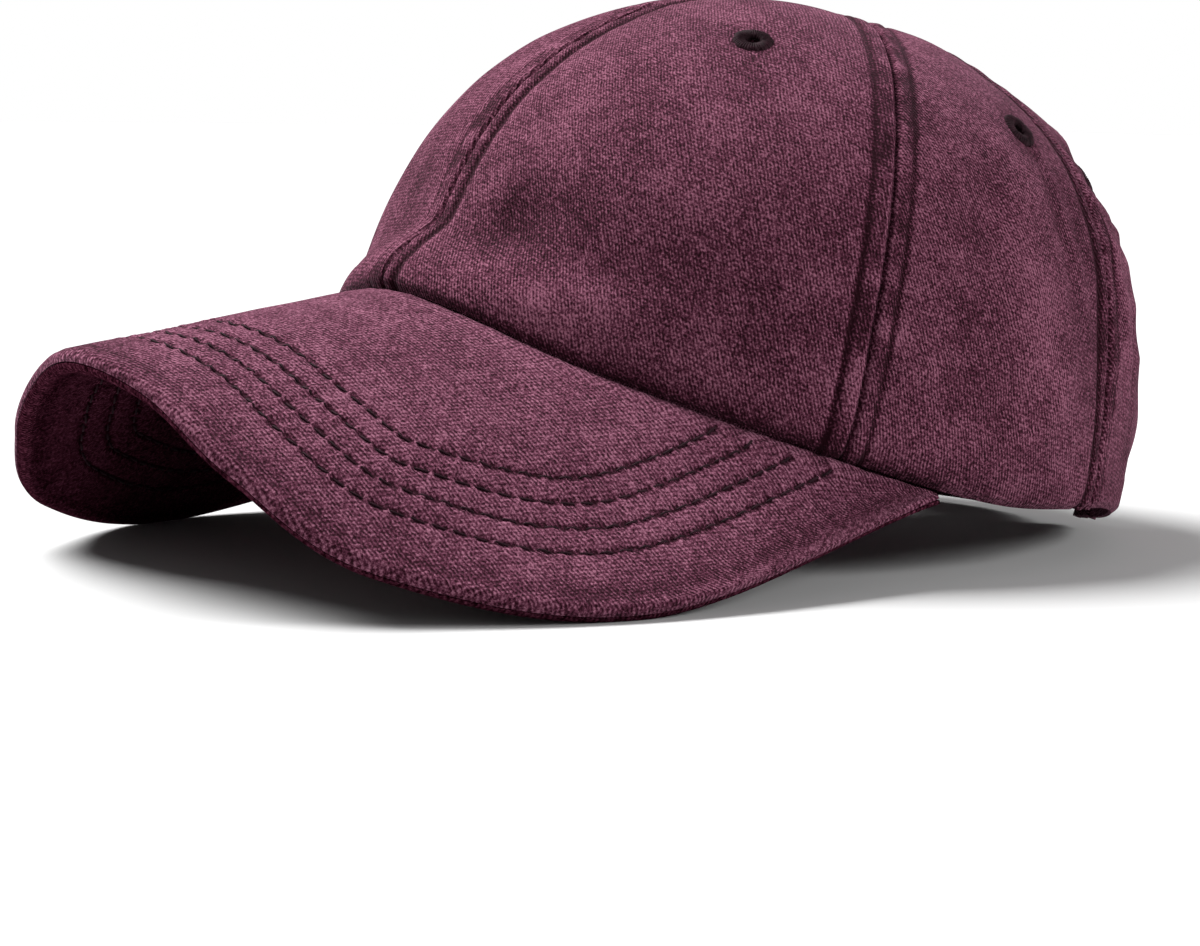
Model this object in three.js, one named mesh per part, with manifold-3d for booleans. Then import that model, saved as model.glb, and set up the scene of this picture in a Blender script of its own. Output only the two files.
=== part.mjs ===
// A washed-cotton baseball cap with a keyhole for a ponytail at the back.
// Millimetres. +Z is up, +X is the wearer's left, -Y is the peak.
// Azimuths run from the front centre: 90 is the wearer's left, 180 the rear centre.
import * as THREE from 'three';
import { mergeVertices } from 'three/addons/utils/BufferGeometryUtils.js';
import Module from 'manifold-3d';

const wasm = await Module();
wasm.setup();

const pieceGap = 0.3;
const weldDistance = 1e-4;
const halvings = 40;

// Crown, measured on its outer face from the level where it is widest
const headHalfWidth = 90;
const frontReach = 101;
const rearReach = 88.6;
const crownHeight = 97.5;
const clothWall = 1.6;
const planPower = 2.02;
const sidePower = 2.3;
const frontPower = 2.24;
const rearPower = 2.65;
const topShift = -1.4;
const rimTuck = 0.03;
const tuckHeight = 10;
const crownHoleRadius = 5;
const nearTopShare = 0.9;
const panelColumns = 9;
const panelRows = 13;
const rowCrowding = 0.92;

// The front flares out over the peak, below a crease at flareTop above the rim
const frontFlare = 11.4;
const flareAngle = 23;
const flareTop = 17;

// Each panel swells between its seams, and the top dips round the button
const panelPuff = 1.5;
const puffRoundness = 0.8;
const puffLevel = 0.5;
const topDip = 2.7;
const dipRadius = 16;

// Azimuths of the seams between the panels
const frontSeamAngle = 0;
const sideSeamAngle = 62;
const backSeamAngle = 110;
const rearSeamAngle = 180;

// Rim of the crown: height is a share of crownHeight
const rimRows = [
  { azimuth: 0, height: 0.039 },
  { azimuth: 30, height: -0.061 },
  { azimuth: 60, height: -0.112 },
  { azimuth: 90, height: -0.117 },
  { azimuth: 120, height: -0.035 },
  { azimuth: 150, height: -0.027 },
  { azimuth: 180, height: 0.004 },
];

// Folds and dents of the soft crown. Azimuth and lean are in degrees, lean from upright
// towards larger azimuth. Height, length and width are shares of crownHeight, and depth
// is a share of foldDepth, raised where it is positive. They fade in from the rim and out
// towards the top, over foldsBegin and foldsEnd of the rise.
const foldDepth = 3;
const foldsBegin = 0.125;
const foldsEnd = 0.25;
const foldRows = [
  { azimuth: 13, height: 0.25, lean: 66, length: 0.16, width: 0.08, depth: -0.7 },
  { azimuth: 22, height: 0.08, lean: 84, length: 0.22, width: 0.06, depth: 0.4 },
  { azimuth: -14, height: 0.3, lean: -60, length: 0.2, width: 0.08, depth: -0.5 },
  { azimuth: 30, height: 0.2, lean: 84, length: 0.4, width: 0.1, depth: -0.35 },
  { azimuth: 78, height: 0.5, lean: 8, length: 0.36, width: 0.07, depth: -0.35 },
  { azimuth: 88, height: 0.34, lean: -10, length: 0.4, width: 0.08, depth: 0.4 },
  { azimuth: 103, height: 0.42, lean: -12, length: 0.42, width: 0.07, depth: -0.6 },
  { azimuth: 120, height: 0.4, lean: -14, length: 0.36, width: 0.07, depth: 0.35 },
  { azimuth: 131, height: 0.45, lean: -12, length: 0.4, width: 0.06, depth: -0.7 },
  { azimuth: 150, height: 0.62, lean: -38, length: 0.3, width: 0.06, depth: 0.6 },
  { azimuth: 147, height: 0.4, lean: -52, length: 0.34, width: 0.08, depth: -0.8 },
  { azimuth: 137, height: 0.2, lean: -30, length: 0.3, width: 0.08, depth: 0.5 },
  { azimuth: -40, height: 0.4, lean: 20, length: 0.4, width: 0.1, depth: -0.4 },
  { azimuth: -84, height: 0.4, lean: 12, length: 0.4, width: 0.09, depth: 0.4 },
  { azimuth: -101, height: 0.4, lean: 10, length: 0.4, width: 0.08, depth: -0.5 },
  { azimuth: -128, height: 0.4, lean: 16, length: 0.4, width: 0.08, depth: 0.5 },
  { azimuth: -145, height: 0.44, lean: 46, length: 0.34, width: 0.08, depth: -0.8 },
  { azimuth: -151, height: 0.64, lean: 40, length: 0.3, width: 0.06, depth: 0.6 },
];

// Peak: two covers sewn together round the edge
const peakHalfWidth = 90;
const peakReach = 69.7;
const peakCurl = 45.2;
const peakThickness = 5.4;
const peakCornerAngle = 78;
const peakLip = 2.6;
const peakLand = 0.35;
const peakTongue = 4;
const peakCornerThickness = 2.4;
const peakCornerWidth = 1.6;
const peakTaperStart = 0.86;
const peakColumns = 40;
const peakSteps = 4;
const lipStations = [1, 0.42, 0.13, 0];

// The peak's edge from its centre to its corner. Across is a share of peakHalfWidth,
// forward a share of the way from the corner to the tip, and drop a share of peakCurl.
const peakRows = [
  { across: 0, forward: 1, drop: 0.398 },
  { across: 0.244, forward: 0.969, drop: 0.489 },
  { across: 0.472, forward: 0.907, drop: 0.752 },
  { across: 0.732, forward: 0.768, drop: 1.02 },
  { across: 1, forward: 0.457, drop: 0.9 },
];

// Button on top: a low wall under a dome
const buttonRadius = 7.6;
const buttonHeight = 4.4;
const buttonWallShare = 0.25;
const buttonFootShare = 0.9;
const buttonRoundness = 0.6;
const buttonClearance = 1;
const buttonSides = 16;
const buttonSteps = 5;

// Sewn eyelets, one in each panel: height is a share of crownHeight
const eyeletRadius = 4.7;
const eyeletHole = 1.8;
const eyeletProud = 0.6;
const eyeletSides = 12;
const eyeletBandSides = 6;
const eyeletRows = [
  { name: 'front', azimuth: 33, height: 0.787 },
  { name: 'side', azimuth: 92, height: 0.757 },
  { name: 'back', azimuth: 144.8, height: 0.78 },
];

// Arch at the back, over the strap, and the facing sewn round it
const archHalfWidth = 46.6;
const archHeight = 57.3;
const archPower = 2.35;
const archInnerHalfWidth = 37.8;
const archInnerHeight = 47.6;
const archInnerPower = 3;
const archFoot = -2.6;
const archFootShare = 0.04;
const facingWall = 1.8;
const facingRecess = 0.5;
const gatherHeight = 0.35;
const archGathers = 17;
const archSteps = 68;

// Keyhole above the arch: heights of its outline and of its open hole are shares of crownHeight
const keyholeWidestShare = 0.825;
const keyholeTopShare = 0.962;
const keyholeFootHalfWidth = 9.5;
const keyholeHalfWidth = 16;
const keyholePower = 2.3;
const holeWidestShare = 0.832;
const holeTopShare = 0.895;
const holeHalfWidth = 6.6;
const holePower = 2.6;
const keyholeGathers = 13;
const keyholeSteps = 52;

// Strap across the arch. Across is a share of archHalfWidth, middle and wide are shares
// of strapWidth: the height of the strap's centre line, and its width there.
const strapWidth = 17.9;
const strapWall = 1.6;
const strapRows = [
  { across: 1, middle: 0.48, wide: 0.98 },
  { across: 0.6, middle: 0.46, wide: 1 },
  { across: 0.15, middle: 0.4, wide: 1 },
  { across: -0.25, middle: 0.39, wide: 1 },
  { across: -0.52, middle: 0.38, wide: 1.05 },
  { across: -0.74, middle: 0.39, wide: 1.06 },
];
const strapEndReach = 17;
const strapEndLift = 2.2;
const strapSteps = 18;
const strapEndSteps = 6;

// Buckle: a flat-wire frame and a toothed clamp, on the wearer's right
const buckleWidth = 16.7;
const buckleHeight = 23;
const buckleWire = 1.5;
const buckleBevel = 0.42;
const buckleCorner = 3.2;
const buckleInset = 13.4;
const buckleMiddle = 8.6;
const clampWidth = 3.5;
const clampHeight = 19.2;
const clampWall = 1.1;
const clampTeeth = 14;
const clampTooth = 0.45;

const cloth = { color: 0x6f4656, roughness: 0.92, metalness: 0 };
const facingCloth = { color: 0x5a3546, roughness: 0.94, metalness: 0 };
const thread = { color: 0x2b1420, roughness: 0.85, metalness: 0 };
const underCloth = { color: 0x5b3648, roughness: 0.93, metalness: 0 };
const brass = { color: 0x6d5f43, roughness: 0.38, metalness: 1 };

const radians = THREE.MathUtils.degToRad;
const clamp = THREE.MathUtils.clamp;
const lerp = THREE.MathUtils.lerp;

// A smooth curve through evenly spaced values, level at both ends
function smoothValue(values, place) {
  const last = values.length - 1;
  const at = clamp(place, 0, 1) * last;
  const i = Math.min(Math.floor(at), last - 1);
  const s = at - i;
  const slope = (k) => (k === 0 || k === last ? 0 : (values[k + 1] - values[k - 1]) / 2);
  const start = values[i] * (1 + 2 * s) * (1 - s) ** 2 + slope(i) * s * (1 - s) ** 2;
  const end = values[i + 1] * s * s * (3 - 2 * s) + slope(i + 1) * s * s * (s - 1);
  return start + end;
}

// Straight lines between rows that need not be evenly spaced
function rowValue(rows, key, place, name) {
  const rising = rows[0][key] < rows[rows.length - 1][key] ? rows : [...rows].reverse();
  const at = clamp(place, rising[0][key], rising[rising.length - 1][key]);
  const next = Math.max(1, rising.findIndex((row) => row[key] >= at));
  const before = rising[next - 1];
  const after = rising[next];
  return lerp(before[name], after[name], (at - before[key]) / (after[key] - before[key]));
}

function solidOf(geometry) {
  const bare = new THREE.BufferGeometry();
  bare.setAttribute('position', geometry.getAttribute('position'));
  bare.setIndex(geometry.getIndex());
  const merged = mergeVertices(bare, weldDistance);
  const corners = merged.getIndex().array;
  const triVerts = [];
  for (let i = 0; i < corners.length; i += 3) {
    const [a, b, c] = [corners[i], corners[i + 1], corners[i + 2]];
    if (a !== b && b !== c && c !== a) {
      triVerts.push(a, b, c);
    }
  }
  return new wasm.Manifold(new wasm.Mesh({
    numProp: 3,
    vertProperties: Float32Array.from(merged.getAttribute('position').array),
    triVerts: Uint32Array.from(triVerts),
  }));
}

function geometryOf(solid) {
  const mesh = solid.getMesh();
  const geometry = new THREE.BufferGeometry();
  geometry.setAttribute('position', new THREE.BufferAttribute(mesh.vertProperties, 3));
  geometry.setIndex(new THREE.BufferAttribute(mesh.triVerts, 1));
  geometry.computeVertexNormals();
  return geometry;
}

// A closed sheet: face(u, v, side) gives a point of its outer side, 0, or its inner side, 1
function sheetGeometry(face, columns, rows) {
  const positions = [];
  for (const side of [0, 1]) {
    for (let j = 0; j <= rows; j += 1) {
      for (let i = 0; i <= columns; i += 1) {
        positions.push(...face(i / columns, j / rows, side).toArray());
      }
    }
  }
  const corner = (side, i, j) => (side * (rows + 1) + j) * (columns + 1) + i;
  const corners = [];
  const quad = (a, b, c, d) => corners.push(a, b, c, a, c, d);
  for (let j = 0; j < rows; j += 1) {
    for (let i = 0; i < columns; i += 1) {
      quad(corner(0, i, j), corner(0, i + 1, j), corner(0, i + 1, j + 1), corner(0, i, j + 1));
      quad(corner(1, i, j), corner(1, i, j + 1), corner(1, i + 1, j + 1), corner(1, i + 1, j));
    }
  }
  for (let i = 0; i < columns; i += 1) {
    quad(corner(0, i, 0), corner(1, i, 0), corner(1, i + 1, 0), corner(0, i + 1, 0));
    quad(corner(0, i, rows), corner(0, i + 1, rows), corner(1, i + 1, rows), corner(1, i, rows));
  }
  for (let j = 0; j < rows; j += 1) {
    quad(corner(0, 0, j), corner(0, 0, j + 1), corner(1, 0, j + 1), corner(1, 0, j));
    quad(corner(0, columns, j), corner(1, columns, j), corner(1, columns, j + 1), corner(0, columns, j + 1));
  }
  const geometry = new THREE.BufferGeometry();
  geometry.setAttribute('position', new THREE.Float32BufferAttribute(positions, 3));
  geometry.setIndex(corners);
  geometry.computeVertexNormals();
  return geometry;
}

const rimHeights = rimRows.map((row) => row.height);

function rimHeight(azimuth) {
  return crownHeight * smoothValue(rimHeights, Math.abs(azimuth) / Math.PI);
}

function planRadius(azimuth) {
  const reach = Math.cos(azimuth) > 0 ? frontReach : rearReach;
  const aside = Math.abs(Math.sin(azimuth)) / headHalfWidth;
  const along = Math.abs(Math.cos(azimuth)) / reach;
  return (aside ** planPower + along ** planPower) ** (-1 / planPower);
}

function profilePower(azimuth) {
  const endPower = Math.cos(azimuth) > 0 ? frontPower : rearPower;
  return sidePower + (endPower - sidePower) * Math.cos(azimuth) ** 2;
}

// Rise runs from 0 at the rim to 1 at the top, along the wall
function heightOf(azimuth, rise) {
  const start = Math.asin(rimHeight(azimuth) / crownHeight);
  return crownHeight * Math.sin(start + (Math.PI / 2 - start) * rise);
}

function riseOf(azimuth, height) {
  const start = Math.asin(rimHeight(azimuth) / crownHeight);
  return (Math.asin(height / crownHeight) - start) / (Math.PI / 2 - start);
}

function crownPoint(azimuth, rise) {
  const height = heightOf(azimuth, rise);
  const share = clamp(height / crownHeight, 0, 1);
  const power = profilePower(azimuth);
  const above = (1 - share ** power) ** (1 / power);
  const open = height < 0 ? 1 - rimTuck * (height / tuckHeight) ** 2 : above;
  const away = azimuth / radians(flareAngle);
  const up = clamp((height - rimHeight(azimuth)) / flareTop, 0, 1);
  const flare = frontFlare * Math.exp(-away * away) * (1 - up * up);
  const radius = planRadius(azimuth) * open + flare;
  return new THREE.Vector3(
    radius * Math.sin(azimuth),
    -radius * Math.cos(azimuth) + topShift * share,
    height,
  );
}

function crownNormal(azimuth, rise) {
  const step = 0.001;
  const round = crownPoint(azimuth + step, rise).sub(crownPoint(azimuth - step, rise));
  const up = crownPoint(azimuth, rise + step).sub(crownPoint(azimuth, rise - step));
  return round.cross(up).normalize();
}

function foldRelief(azimuth, height) {
  let relief = 0;
  for (const fold of foldRows) {
    const turn = azimuth - radians(fold.azimuth);
    const round = headHalfWidth * Math.atan2(Math.sin(turn), Math.cos(turn));
    const up = height - fold.height * crownHeight;
    const lean = radians(fold.lean);
    const along = (up * Math.cos(lean) + round * Math.sin(lean)) / (fold.length * crownHeight);
    const across = (round * Math.cos(lean) - up * Math.sin(lean)) / (fold.width * crownHeight);
    relief += fold.depth * foldDepth * Math.exp(-2 * along * along - across * across);
  }
  return relief;
}

const seams = [frontSeamAngle, sideSeamAngle, backSeamAngle, rearSeamAngle];

// How far the soft cloth stands off the smooth form
function crownRelief(azimuth, rise) {
  const turn = THREE.MathUtils.radToDeg(Math.abs(azimuth));
  const next = clamp(seams.findIndex((seam) => seam >= turn), 1, seams.length - 1);
  const share = clamp((turn - seams[next - 1]) / (seams[next] - seams[next - 1]), 0, 1);
  const full = 1 - clamp(Math.abs(2 * rise - 1), 0, 1) ** 4;
  const puff = panelPuff * full * (Math.sin(Math.PI * share) ** puffRoundness - puffLevel);
  const point = crownPoint(azimuth, rise);
  const fromTop = Math.hypot(point.x, point.y - topShift);
  const dip = topDip * Math.exp(-((fromTop / dipRadius) ** 2));
  const settled = clamp(rise / foldsBegin, 0, 1) * clamp((1 - rise) / foldsEnd, 0, 1);
  return puff - dip + settled * foldRelief(azimuth, point.z);
}

// A point of the crown at a depth below its outer face
function crownFace(azimuth, rise, depth) {
  const offset = crownRelief(azimuth, rise) - depth;
  return crownPoint(azimuth, rise).addScaledVector(crownNormal(azimuth, rise), offset);
}

// The same for the back, found by its distance from the centre line and its height
function backFace(across, height, depth) {
  let near = Math.PI / 2;
  let far = Math.PI;
  for (let i = 0; i < halvings; i += 1) {
    const middle = (near + far) / 2;
    if (crownPoint(middle, riseOf(middle, height)).x > Math.abs(across)) {
      near = middle;
    } else {
      far = middle;
    }
  }
  const azimuth = (across < 0 ? -1 : 1) * (near + far) / 2;
  return crownFace(azimuth, riseOf(azimuth, height), depth);
}

// Half-width of the arch at a height, straight below the level of the rim
function archHalf(height, halfWidth, top, power) {
  const share = clamp(height / top, 0, 1);
  return halfWidth * (1 - share ** power) ** (1 / power);
}

// One side of the keyhole's outline, from its foot to its top
function keyholeSide(place, foot, widest, top, footHalf, half, power) {
  if (place < 0.5) {
    const share = place * 2;
    return { height: lerp(foot, widest, share), half: lerp(footHalf, half, Math.sin(share * Math.PI / 2)) };
  }
  const turn = (place - 0.5) * Math.PI;
  return {
    height: lerp(widest, top, Math.sin(turn) ** (2 / power)),
    half: half * Math.max(Math.cos(turn), 0) ** (2 / power),
  };
}

const keyholeFoot = archHeight + 2 * pieceGap;

function keyholeOuter(place) {
  return keyholeSide(place, keyholeFoot, keyholeWidestShare * crownHeight, keyholeTopShare * crownHeight,
    keyholeFootHalfWidth, keyholeHalfWidth, keyholePower);
}

function keyholeInner(place) {
  return keyholeSide(place, keyholeFoot, holeWidestShare * crownHeight, holeTopShare * crownHeight,
    pieceGap / 2, holeHalfWidth, holePower);
}

// Plugs that open the panels reach from above the outer face to below the inner one
const cutAbove = -6;
const cutBelow = 10;
const cutLow = 14;
const archPlugCells = [16, 20];
const keyholePlugCells = [8, 22];

function archPlug() {
  const low = rimHeight(Math.PI) - cutLow;
  const face = (u, v, side) => {
    const height = low + (archHeight - low) * Math.sin(v * Math.PI / 2);
    const half = archHalf(height, archHalfWidth, archHeight, archPower);
    return backFace(lerp(half, -half, u), height, side ? cutBelow : cutAbove);
  };
  return solidOf(sheetGeometry(face, ...archPlugCells));
}

function keyholePlug() {
  const face = (u, v, side) => {
    const row = keyholeOuter(v);
    const height = v === 0 ? keyholeFoot - 3 * pieceGap : row.height;
    return backFace(lerp(row.half, -row.half, u), height, side ? cutBelow : cutAbove);
  };
  return solidOf(sheetGeometry(face, ...keyholePlugCells));
}

function eyeletSpots() {
  const spots = [];
  for (const row of eyeletRows) {
    for (const [side, name] of [[1, 'left'], [-1, 'right']]) {
      const azimuth = side * radians(row.azimuth);
      const rise = riseOf(azimuth, row.height * crownHeight);
      spots.push({
        name: `eyelet_${row.name}_${name}`,
        panel: `panel_${row.name}_${name}`,
        place: crownFace(azimuth, rise, clothWall / 2),
        normal: crownNormal(azimuth, rise),
      });
    }
  }
  return spots;
}

const spots = eyeletSpots();
const upright = new THREE.Vector3(0, 1, 0);

function eyeletPlug(spot) {
  const radius = eyeletRadius + pieceGap;
  const geometry = new THREE.CylinderGeometry(radius, radius, cutBelow - cutAbove, eyeletSides);
  geometry.applyQuaternion(new THREE.Quaternion().setFromUnitVectors(upright, spot.normal));
  geometry.translate(...spot.place.toArray());
  return solidOf(geometry);
}

// The rise at which the crown's hole under the button begins
function topRise(azimuth) {
  let low = nearTopShare;
  let high = 1;
  for (let i = 0; i < halvings; i += 1) {
    const middle = (low + high) / 2;
    const point = crownPoint(azimuth, middle);
    if (Math.hypot(point.x, point.y - topShift) > crownHoleRadius) {
      low = middle;
    } else {
      high = middle;
    }
  }
  return low;
}

function panelGeometry(from, to) {
  const face = (u, v, side) => {
    const nominal = radians(lerp(from, to, u));
    const rise = topRise(nominal) * v ** rowCrowding;
    const point = crownPoint(nominal, rise);
    const inset = pieceGap / 2 / Math.hypot(point.x, point.y - topShift);
    const azimuth = lerp(radians(from) + inset, radians(to) - inset, u);
    return crownFace(azimuth, rise, side ? clothWall : 0);
  };
  return sheetGeometry(face, panelColumns, panelRows);
}

function panelMeshes() {
  const plugs = [archPlug(), keyholePlug()];
  const ranges = [
    { name: 'front', from: frontSeamAngle, to: sideSeamAngle },
    { name: 'side', from: sideSeamAngle, to: backSeamAngle },
    { name: 'back', from: backSeamAngle, to: rearSeamAngle },
  ];
  const meshes = [];
  for (const range of ranges) {
    for (const [side, word] of [[1, 'left'], [-1, 'right']]) {
      const name = `panel_${range.name}_${word}`;
      const ends = side > 0 ? [range.from, range.to] : [-range.to, -range.from];
      let solid = solidOf(panelGeometry(...ends));
      const holes = spots.filter((spot) => spot.panel === name).map(eyeletPlug);
      const cuts = range.name === 'back' ? [...holes, ...plugs] : holes;
      for (const cut of cuts) {
        solid = solid.subtract(cut);
      }
      meshes.push(named(name, geometryOf(solid), cloth));
    }
  }
  return meshes;
}

function named(name, geometry, look) {
  const mesh = new THREE.Mesh(geometry, new THREE.MeshStandardMaterial(look));
  mesh.name = name;
  return mesh;
}

function rimPoint(azimuth, inward) {
  const point = crownPoint(azimuth, 0);
  const reach = Math.hypot(point.x, point.y);
  const share = (reach - inward) / reach;
  return new THREE.Vector3(point.x * share, point.y * share, point.z);
}

function peakEdge() {
  const corner = rimPoint(radians(peakCornerAngle), 0);
  const tip = rimPoint(0, 0).y - peakReach;
  const points = peakRows.map((row) => new THREE.Vector3(
    row.across * peakHalfWidth,
    lerp(corner.y, tip, row.forward),
    corner.z - row.drop * peakCurl,
  ));
  const end = rimPoint(radians(peakCornerAngle), -peakCornerWidth);
  points.push(end.setZ(end.z - pieceGap - peakCornerThickness / 2));
  const mirrored = points.slice(1).reverse().map((point) => point.clone().setX(-point.x));
  return new THREE.CatmullRomCurve3([...mirrored, ...points], false, 'catmullrom');
}

const edge = peakEdge();

// Stations run from the peak's tongue inside the rim, through the rim, to the peak's edge
const rimStation = 1;
const edgeStation = rimStation + peakSteps + lipStations.length - 1;

// Half the peak's thickness, drawn in towards its corners
function peakFull(turn) {
  const share = clamp((Math.abs(turn) - peakTaperStart) / (1 - peakTaperStart), 0, 1);
  return lerp(peakThickness, peakCornerThickness, share) / 2;
}

function peakStation(turn, station) {
  const azimuth = radians(peakCornerAngle) * turn;
  const sunk = new THREE.Vector3(0, 0, -pieceGap - peakFull(turn));
  if (station < rimStation) {
    return rimPoint(azimuth, peakTongue).add(sunk);
  }
  const rim = rimPoint(azimuth, 0).add(sunk);
  const end = edge.getPoint((turn + 1) / 2);
  const length = rim.distanceTo(end);
  const lip = Math.min(peakLip, length / 2);
  const step = station - rimStation;
  const back = step < peakSteps
    ? lerp(length, lip, step / peakSteps)
    : lip * lipStations[step - peakSteps];
  return end.lerp(rim, back / length);
}

// Half the peak's thickness at a station: full, then rounded off at the lip
function peakHalf(turn, station) {
  const step = station - rimStation - peakSteps;
  const full = peakFull(turn);
  const least = pieceGap / 2 + peakLand;
  return step <= 0 ? full : lerp(least, full, Math.sqrt(1 - (1 - lipStations[step]) ** 2));
}

function peakUp(turn, station) {
  if (station <= rimStation) {
    return new THREE.Vector3(0, 0, 1);
  }
  const reach = 0.01;
  const middle = clamp(turn, reach - 1, 1 - reach);
  const round = peakStation(middle + reach, station).sub(peakStation(middle - reach, station));
  const inward = peakStation(middle, rimStation).sub(peakStation(middle, edgeStation));
  return round.cross(inward).normalize();
}

function peakGeometry(upper) {
  const face = (u, v, side) => {
    const turn = lerp(-1, 1, u);
    const station = Math.round((1 - v) * edgeStation);
    const near = pieceGap / 2;
    const far = peakHalf(turn, station);
    const height = upper ? [far, near][side] : [-near, -far][side];
    return peakStation(turn, station).addScaledVector(peakUp(turn, station), height);
  };
  return sheetGeometry(face, peakColumns, edgeStation);
}

const bandRows = 2;

// A facing between two outlines, gathered along its length
function facingGeometry(outer, inner, steps, gathers) {
  const face = (u, v, side) => {
    const outside = outer(u);
    const inside = inner(u);
    const across = lerp(inside.across, outside.across, v);
    const height = lerp(inside.height, outside.height, v);
    const gather = gatherHeight * Math.cos(2 * Math.PI * gathers * u) * Math.sin(Math.PI * v);
    return backFace(across, height, facingRecess - gather + (side ? facingWall : 0));
  };
  return sheetGeometry(face, steps, bandRows);
}

// An arch's outline from the foot on the left, over the top, to the foot on the right
function archOutline(halfWidth, top, power) {
  return (place) => {
    const side = place < 0.5 ? 1 : -1;
    const share = 1 - Math.abs(2 * place - 1);
    if (share < archFootShare) {
      return { across: side * halfWidth, height: lerp(archFoot, 0, share / archFootShare) };
    }
    const turn = (share - archFootShare) / (1 - archFootShare) * Math.PI / 2;
    return {
      across: side * halfWidth * Math.max(Math.cos(turn), 0) ** (2 / power),
      height: top * Math.sin(turn) ** (2 / power),
    };
  };
}

function archBand() {
  const outer = archOutline(archHalfWidth - pieceGap, archHeight - pieceGap, archPower);
  const inner = archOutline(archInnerHalfWidth, archInnerHeight, archInnerPower);
  return named('arch_facing', facingGeometry(outer, inner, archSteps, archGathers), facingCloth);
}

function keyholeBand() {
  const whole = (side, inset) => (place) => {
    const row = side(1 - Math.abs(2 * place - 1));
    const half = Math.max(row.half - inset, pieceGap / 2);
    return {
      across: place < 0.5 ? half : -half,
      height: Math.max(row.height - inset, keyholeFoot),
    };
  };
  const outer = whole(keyholeOuter, pieceGap);
  const inner = whole(keyholeInner, 0);
  return named('keyhole_facing', facingGeometry(outer, inner, keyholeSteps, keyholeGathers), facingCloth);
}

const strapDepth = facingRecess + facingWall + gatherHeight + pieceGap;

function strapEdge(across, end) {
  const share = across / archHalfWidth;
  const middle = rowValue(strapRows, 'across', share, 'middle');
  const wide = rowValue(strapRows, 'across', share, 'wide');
  return strapWidth * (middle + end * wide / 2);
}

// A length of strap between two distances from the centre line
function strapGeometry(from, to, depth, lift, columns) {
  const face = (u, v, side) => {
    const across = lerp(from, to, u);
    const height = lerp(strapEdge(across, -1), strapEdge(across, 1), v) + lift;
    return backFace(across, height, depth + (side ? strapWall : 0));
  };
  return sheetGeometry(face, columns, bandRows);
}

const buckleRight = buckleInset - archHalfWidth;
const strapStop = buckleRight - clampWidth / 2;

function strapMeshes() {
  const underDepth = strapDepth + strapWall + pieceGap;
  const tabStart = strapStop - pieceGap;
  const strap = strapGeometry(archHalfWidth, strapStop, strapDepth, 0, strapSteps);
  const endStart = strapStop + strapEndReach;
  const freeEnd = strapGeometry(endStart, strapStop, underDepth, strapEndLift, strapEndSteps);
  const tab = strapGeometry(tabStart, -archHalfWidth, strapDepth, 0, strapEndSteps);
  return [
    named('strap', strap, facingCloth),
    named('strap_end', freeEnd, facingCloth),
    named('buckle_tab', tab, facingCloth),
  ];
}

function roundedRectangle(shape, halfWidth, halfHeight, corner) {
  shape.moveTo(halfWidth, 0);
  shape.lineTo(halfWidth, halfHeight - corner);
  shape.absarc(halfWidth - corner, halfHeight - corner, corner, 0, Math.PI / 2);
  shape.absarc(corner - halfWidth, halfHeight - corner, corner, Math.PI / 2, Math.PI);
  shape.absarc(corner - halfWidth, corner - halfHeight, corner, Math.PI, 1.5 * Math.PI);
  shape.absarc(halfWidth - corner, corner - halfHeight, corner, 1.5 * Math.PI, 2 * Math.PI);
  shape.closePath();
  return shape;
}

// Metal lies in front of the strap, square to the wall at the buckle's centre
function setOnStrap(mesh, across, thickness) {
  const centre = buckleRight + buckleWidth / 2;
  const place = backFace(centre, buckleMiddle, strapDepth - pieceGap - thickness / 2);
  const aside = backFace(centre + 1, buckleMiddle, 0).sub(backFace(centre - 1, buckleMiddle, 0)).normalize();
  const outward = aside.clone().cross(new THREE.Vector3(0, 0, 1)).negate().normalize();
  const up = outward.clone().cross(aside).normalize();
  const basis = new THREE.Matrix4().makeBasis(aside, up, outward);
  mesh.quaternion.setFromRotationMatrix(basis);
  mesh.position.copy(place).addScaledVector(aside, across - centre);
  return mesh;
}

function buckleFrame() {
  const halfWidth = buckleWidth / 2 - buckleBevel;
  const halfHeight = buckleHeight / 2 - buckleBevel;
  const corner = buckleCorner - buckleBevel;
  const bar = buckleWire - 2 * buckleBevel;
  const shape = roundedRectangle(new THREE.Shape(), halfWidth, halfHeight, corner);
  shape.holes.push(roundedRectangle(new THREE.Path(), halfWidth - bar, halfHeight - bar, corner - bar));
  const geometry = new THREE.ExtrudeGeometry(shape, {
    depth: bar,
    bevelThickness: buckleBevel,
    bevelSize: buckleBevel,
    bevelSegments: 1,
    curveSegments: 3,
  });
  geometry.translate(0, 0, buckleBevel - buckleWire / 2);
  return setOnStrap(named('buckle_frame', geometryOf(solidOf(geometry)), brass),
    buckleRight + buckleWidth / 2, buckleWire);
}

function buckleClamp() {
  const shape = new THREE.Shape();
  const half = clampHeight / 2;
  const pitch = clampHeight / clampTeeth;
  shape.moveTo(-clampWidth / 2, half);
  shape.lineTo(-clampWidth / 2, -half);
  shape.lineTo(clampWidth / 2 - clampTooth, -half);
  for (let i = 0; i < clampTeeth; i += 1) {
    shape.lineTo(clampWidth / 2, -half + (i + 0.5) * pitch);
    shape.lineTo(clampWidth / 2 - clampTooth, -half + (i + 1) * pitch);
  }
  const geometry = new THREE.ExtrudeGeometry(shape, { depth: clampWall, bevelEnabled: false });
  geometry.translate(0, 0, -clampWall / 2);
  return setOnStrap(named('buckle_clamp', geometryOf(solidOf(geometry)), brass),
    buckleRight - pieceGap - clampWidth / 2, clampWall);
}

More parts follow.
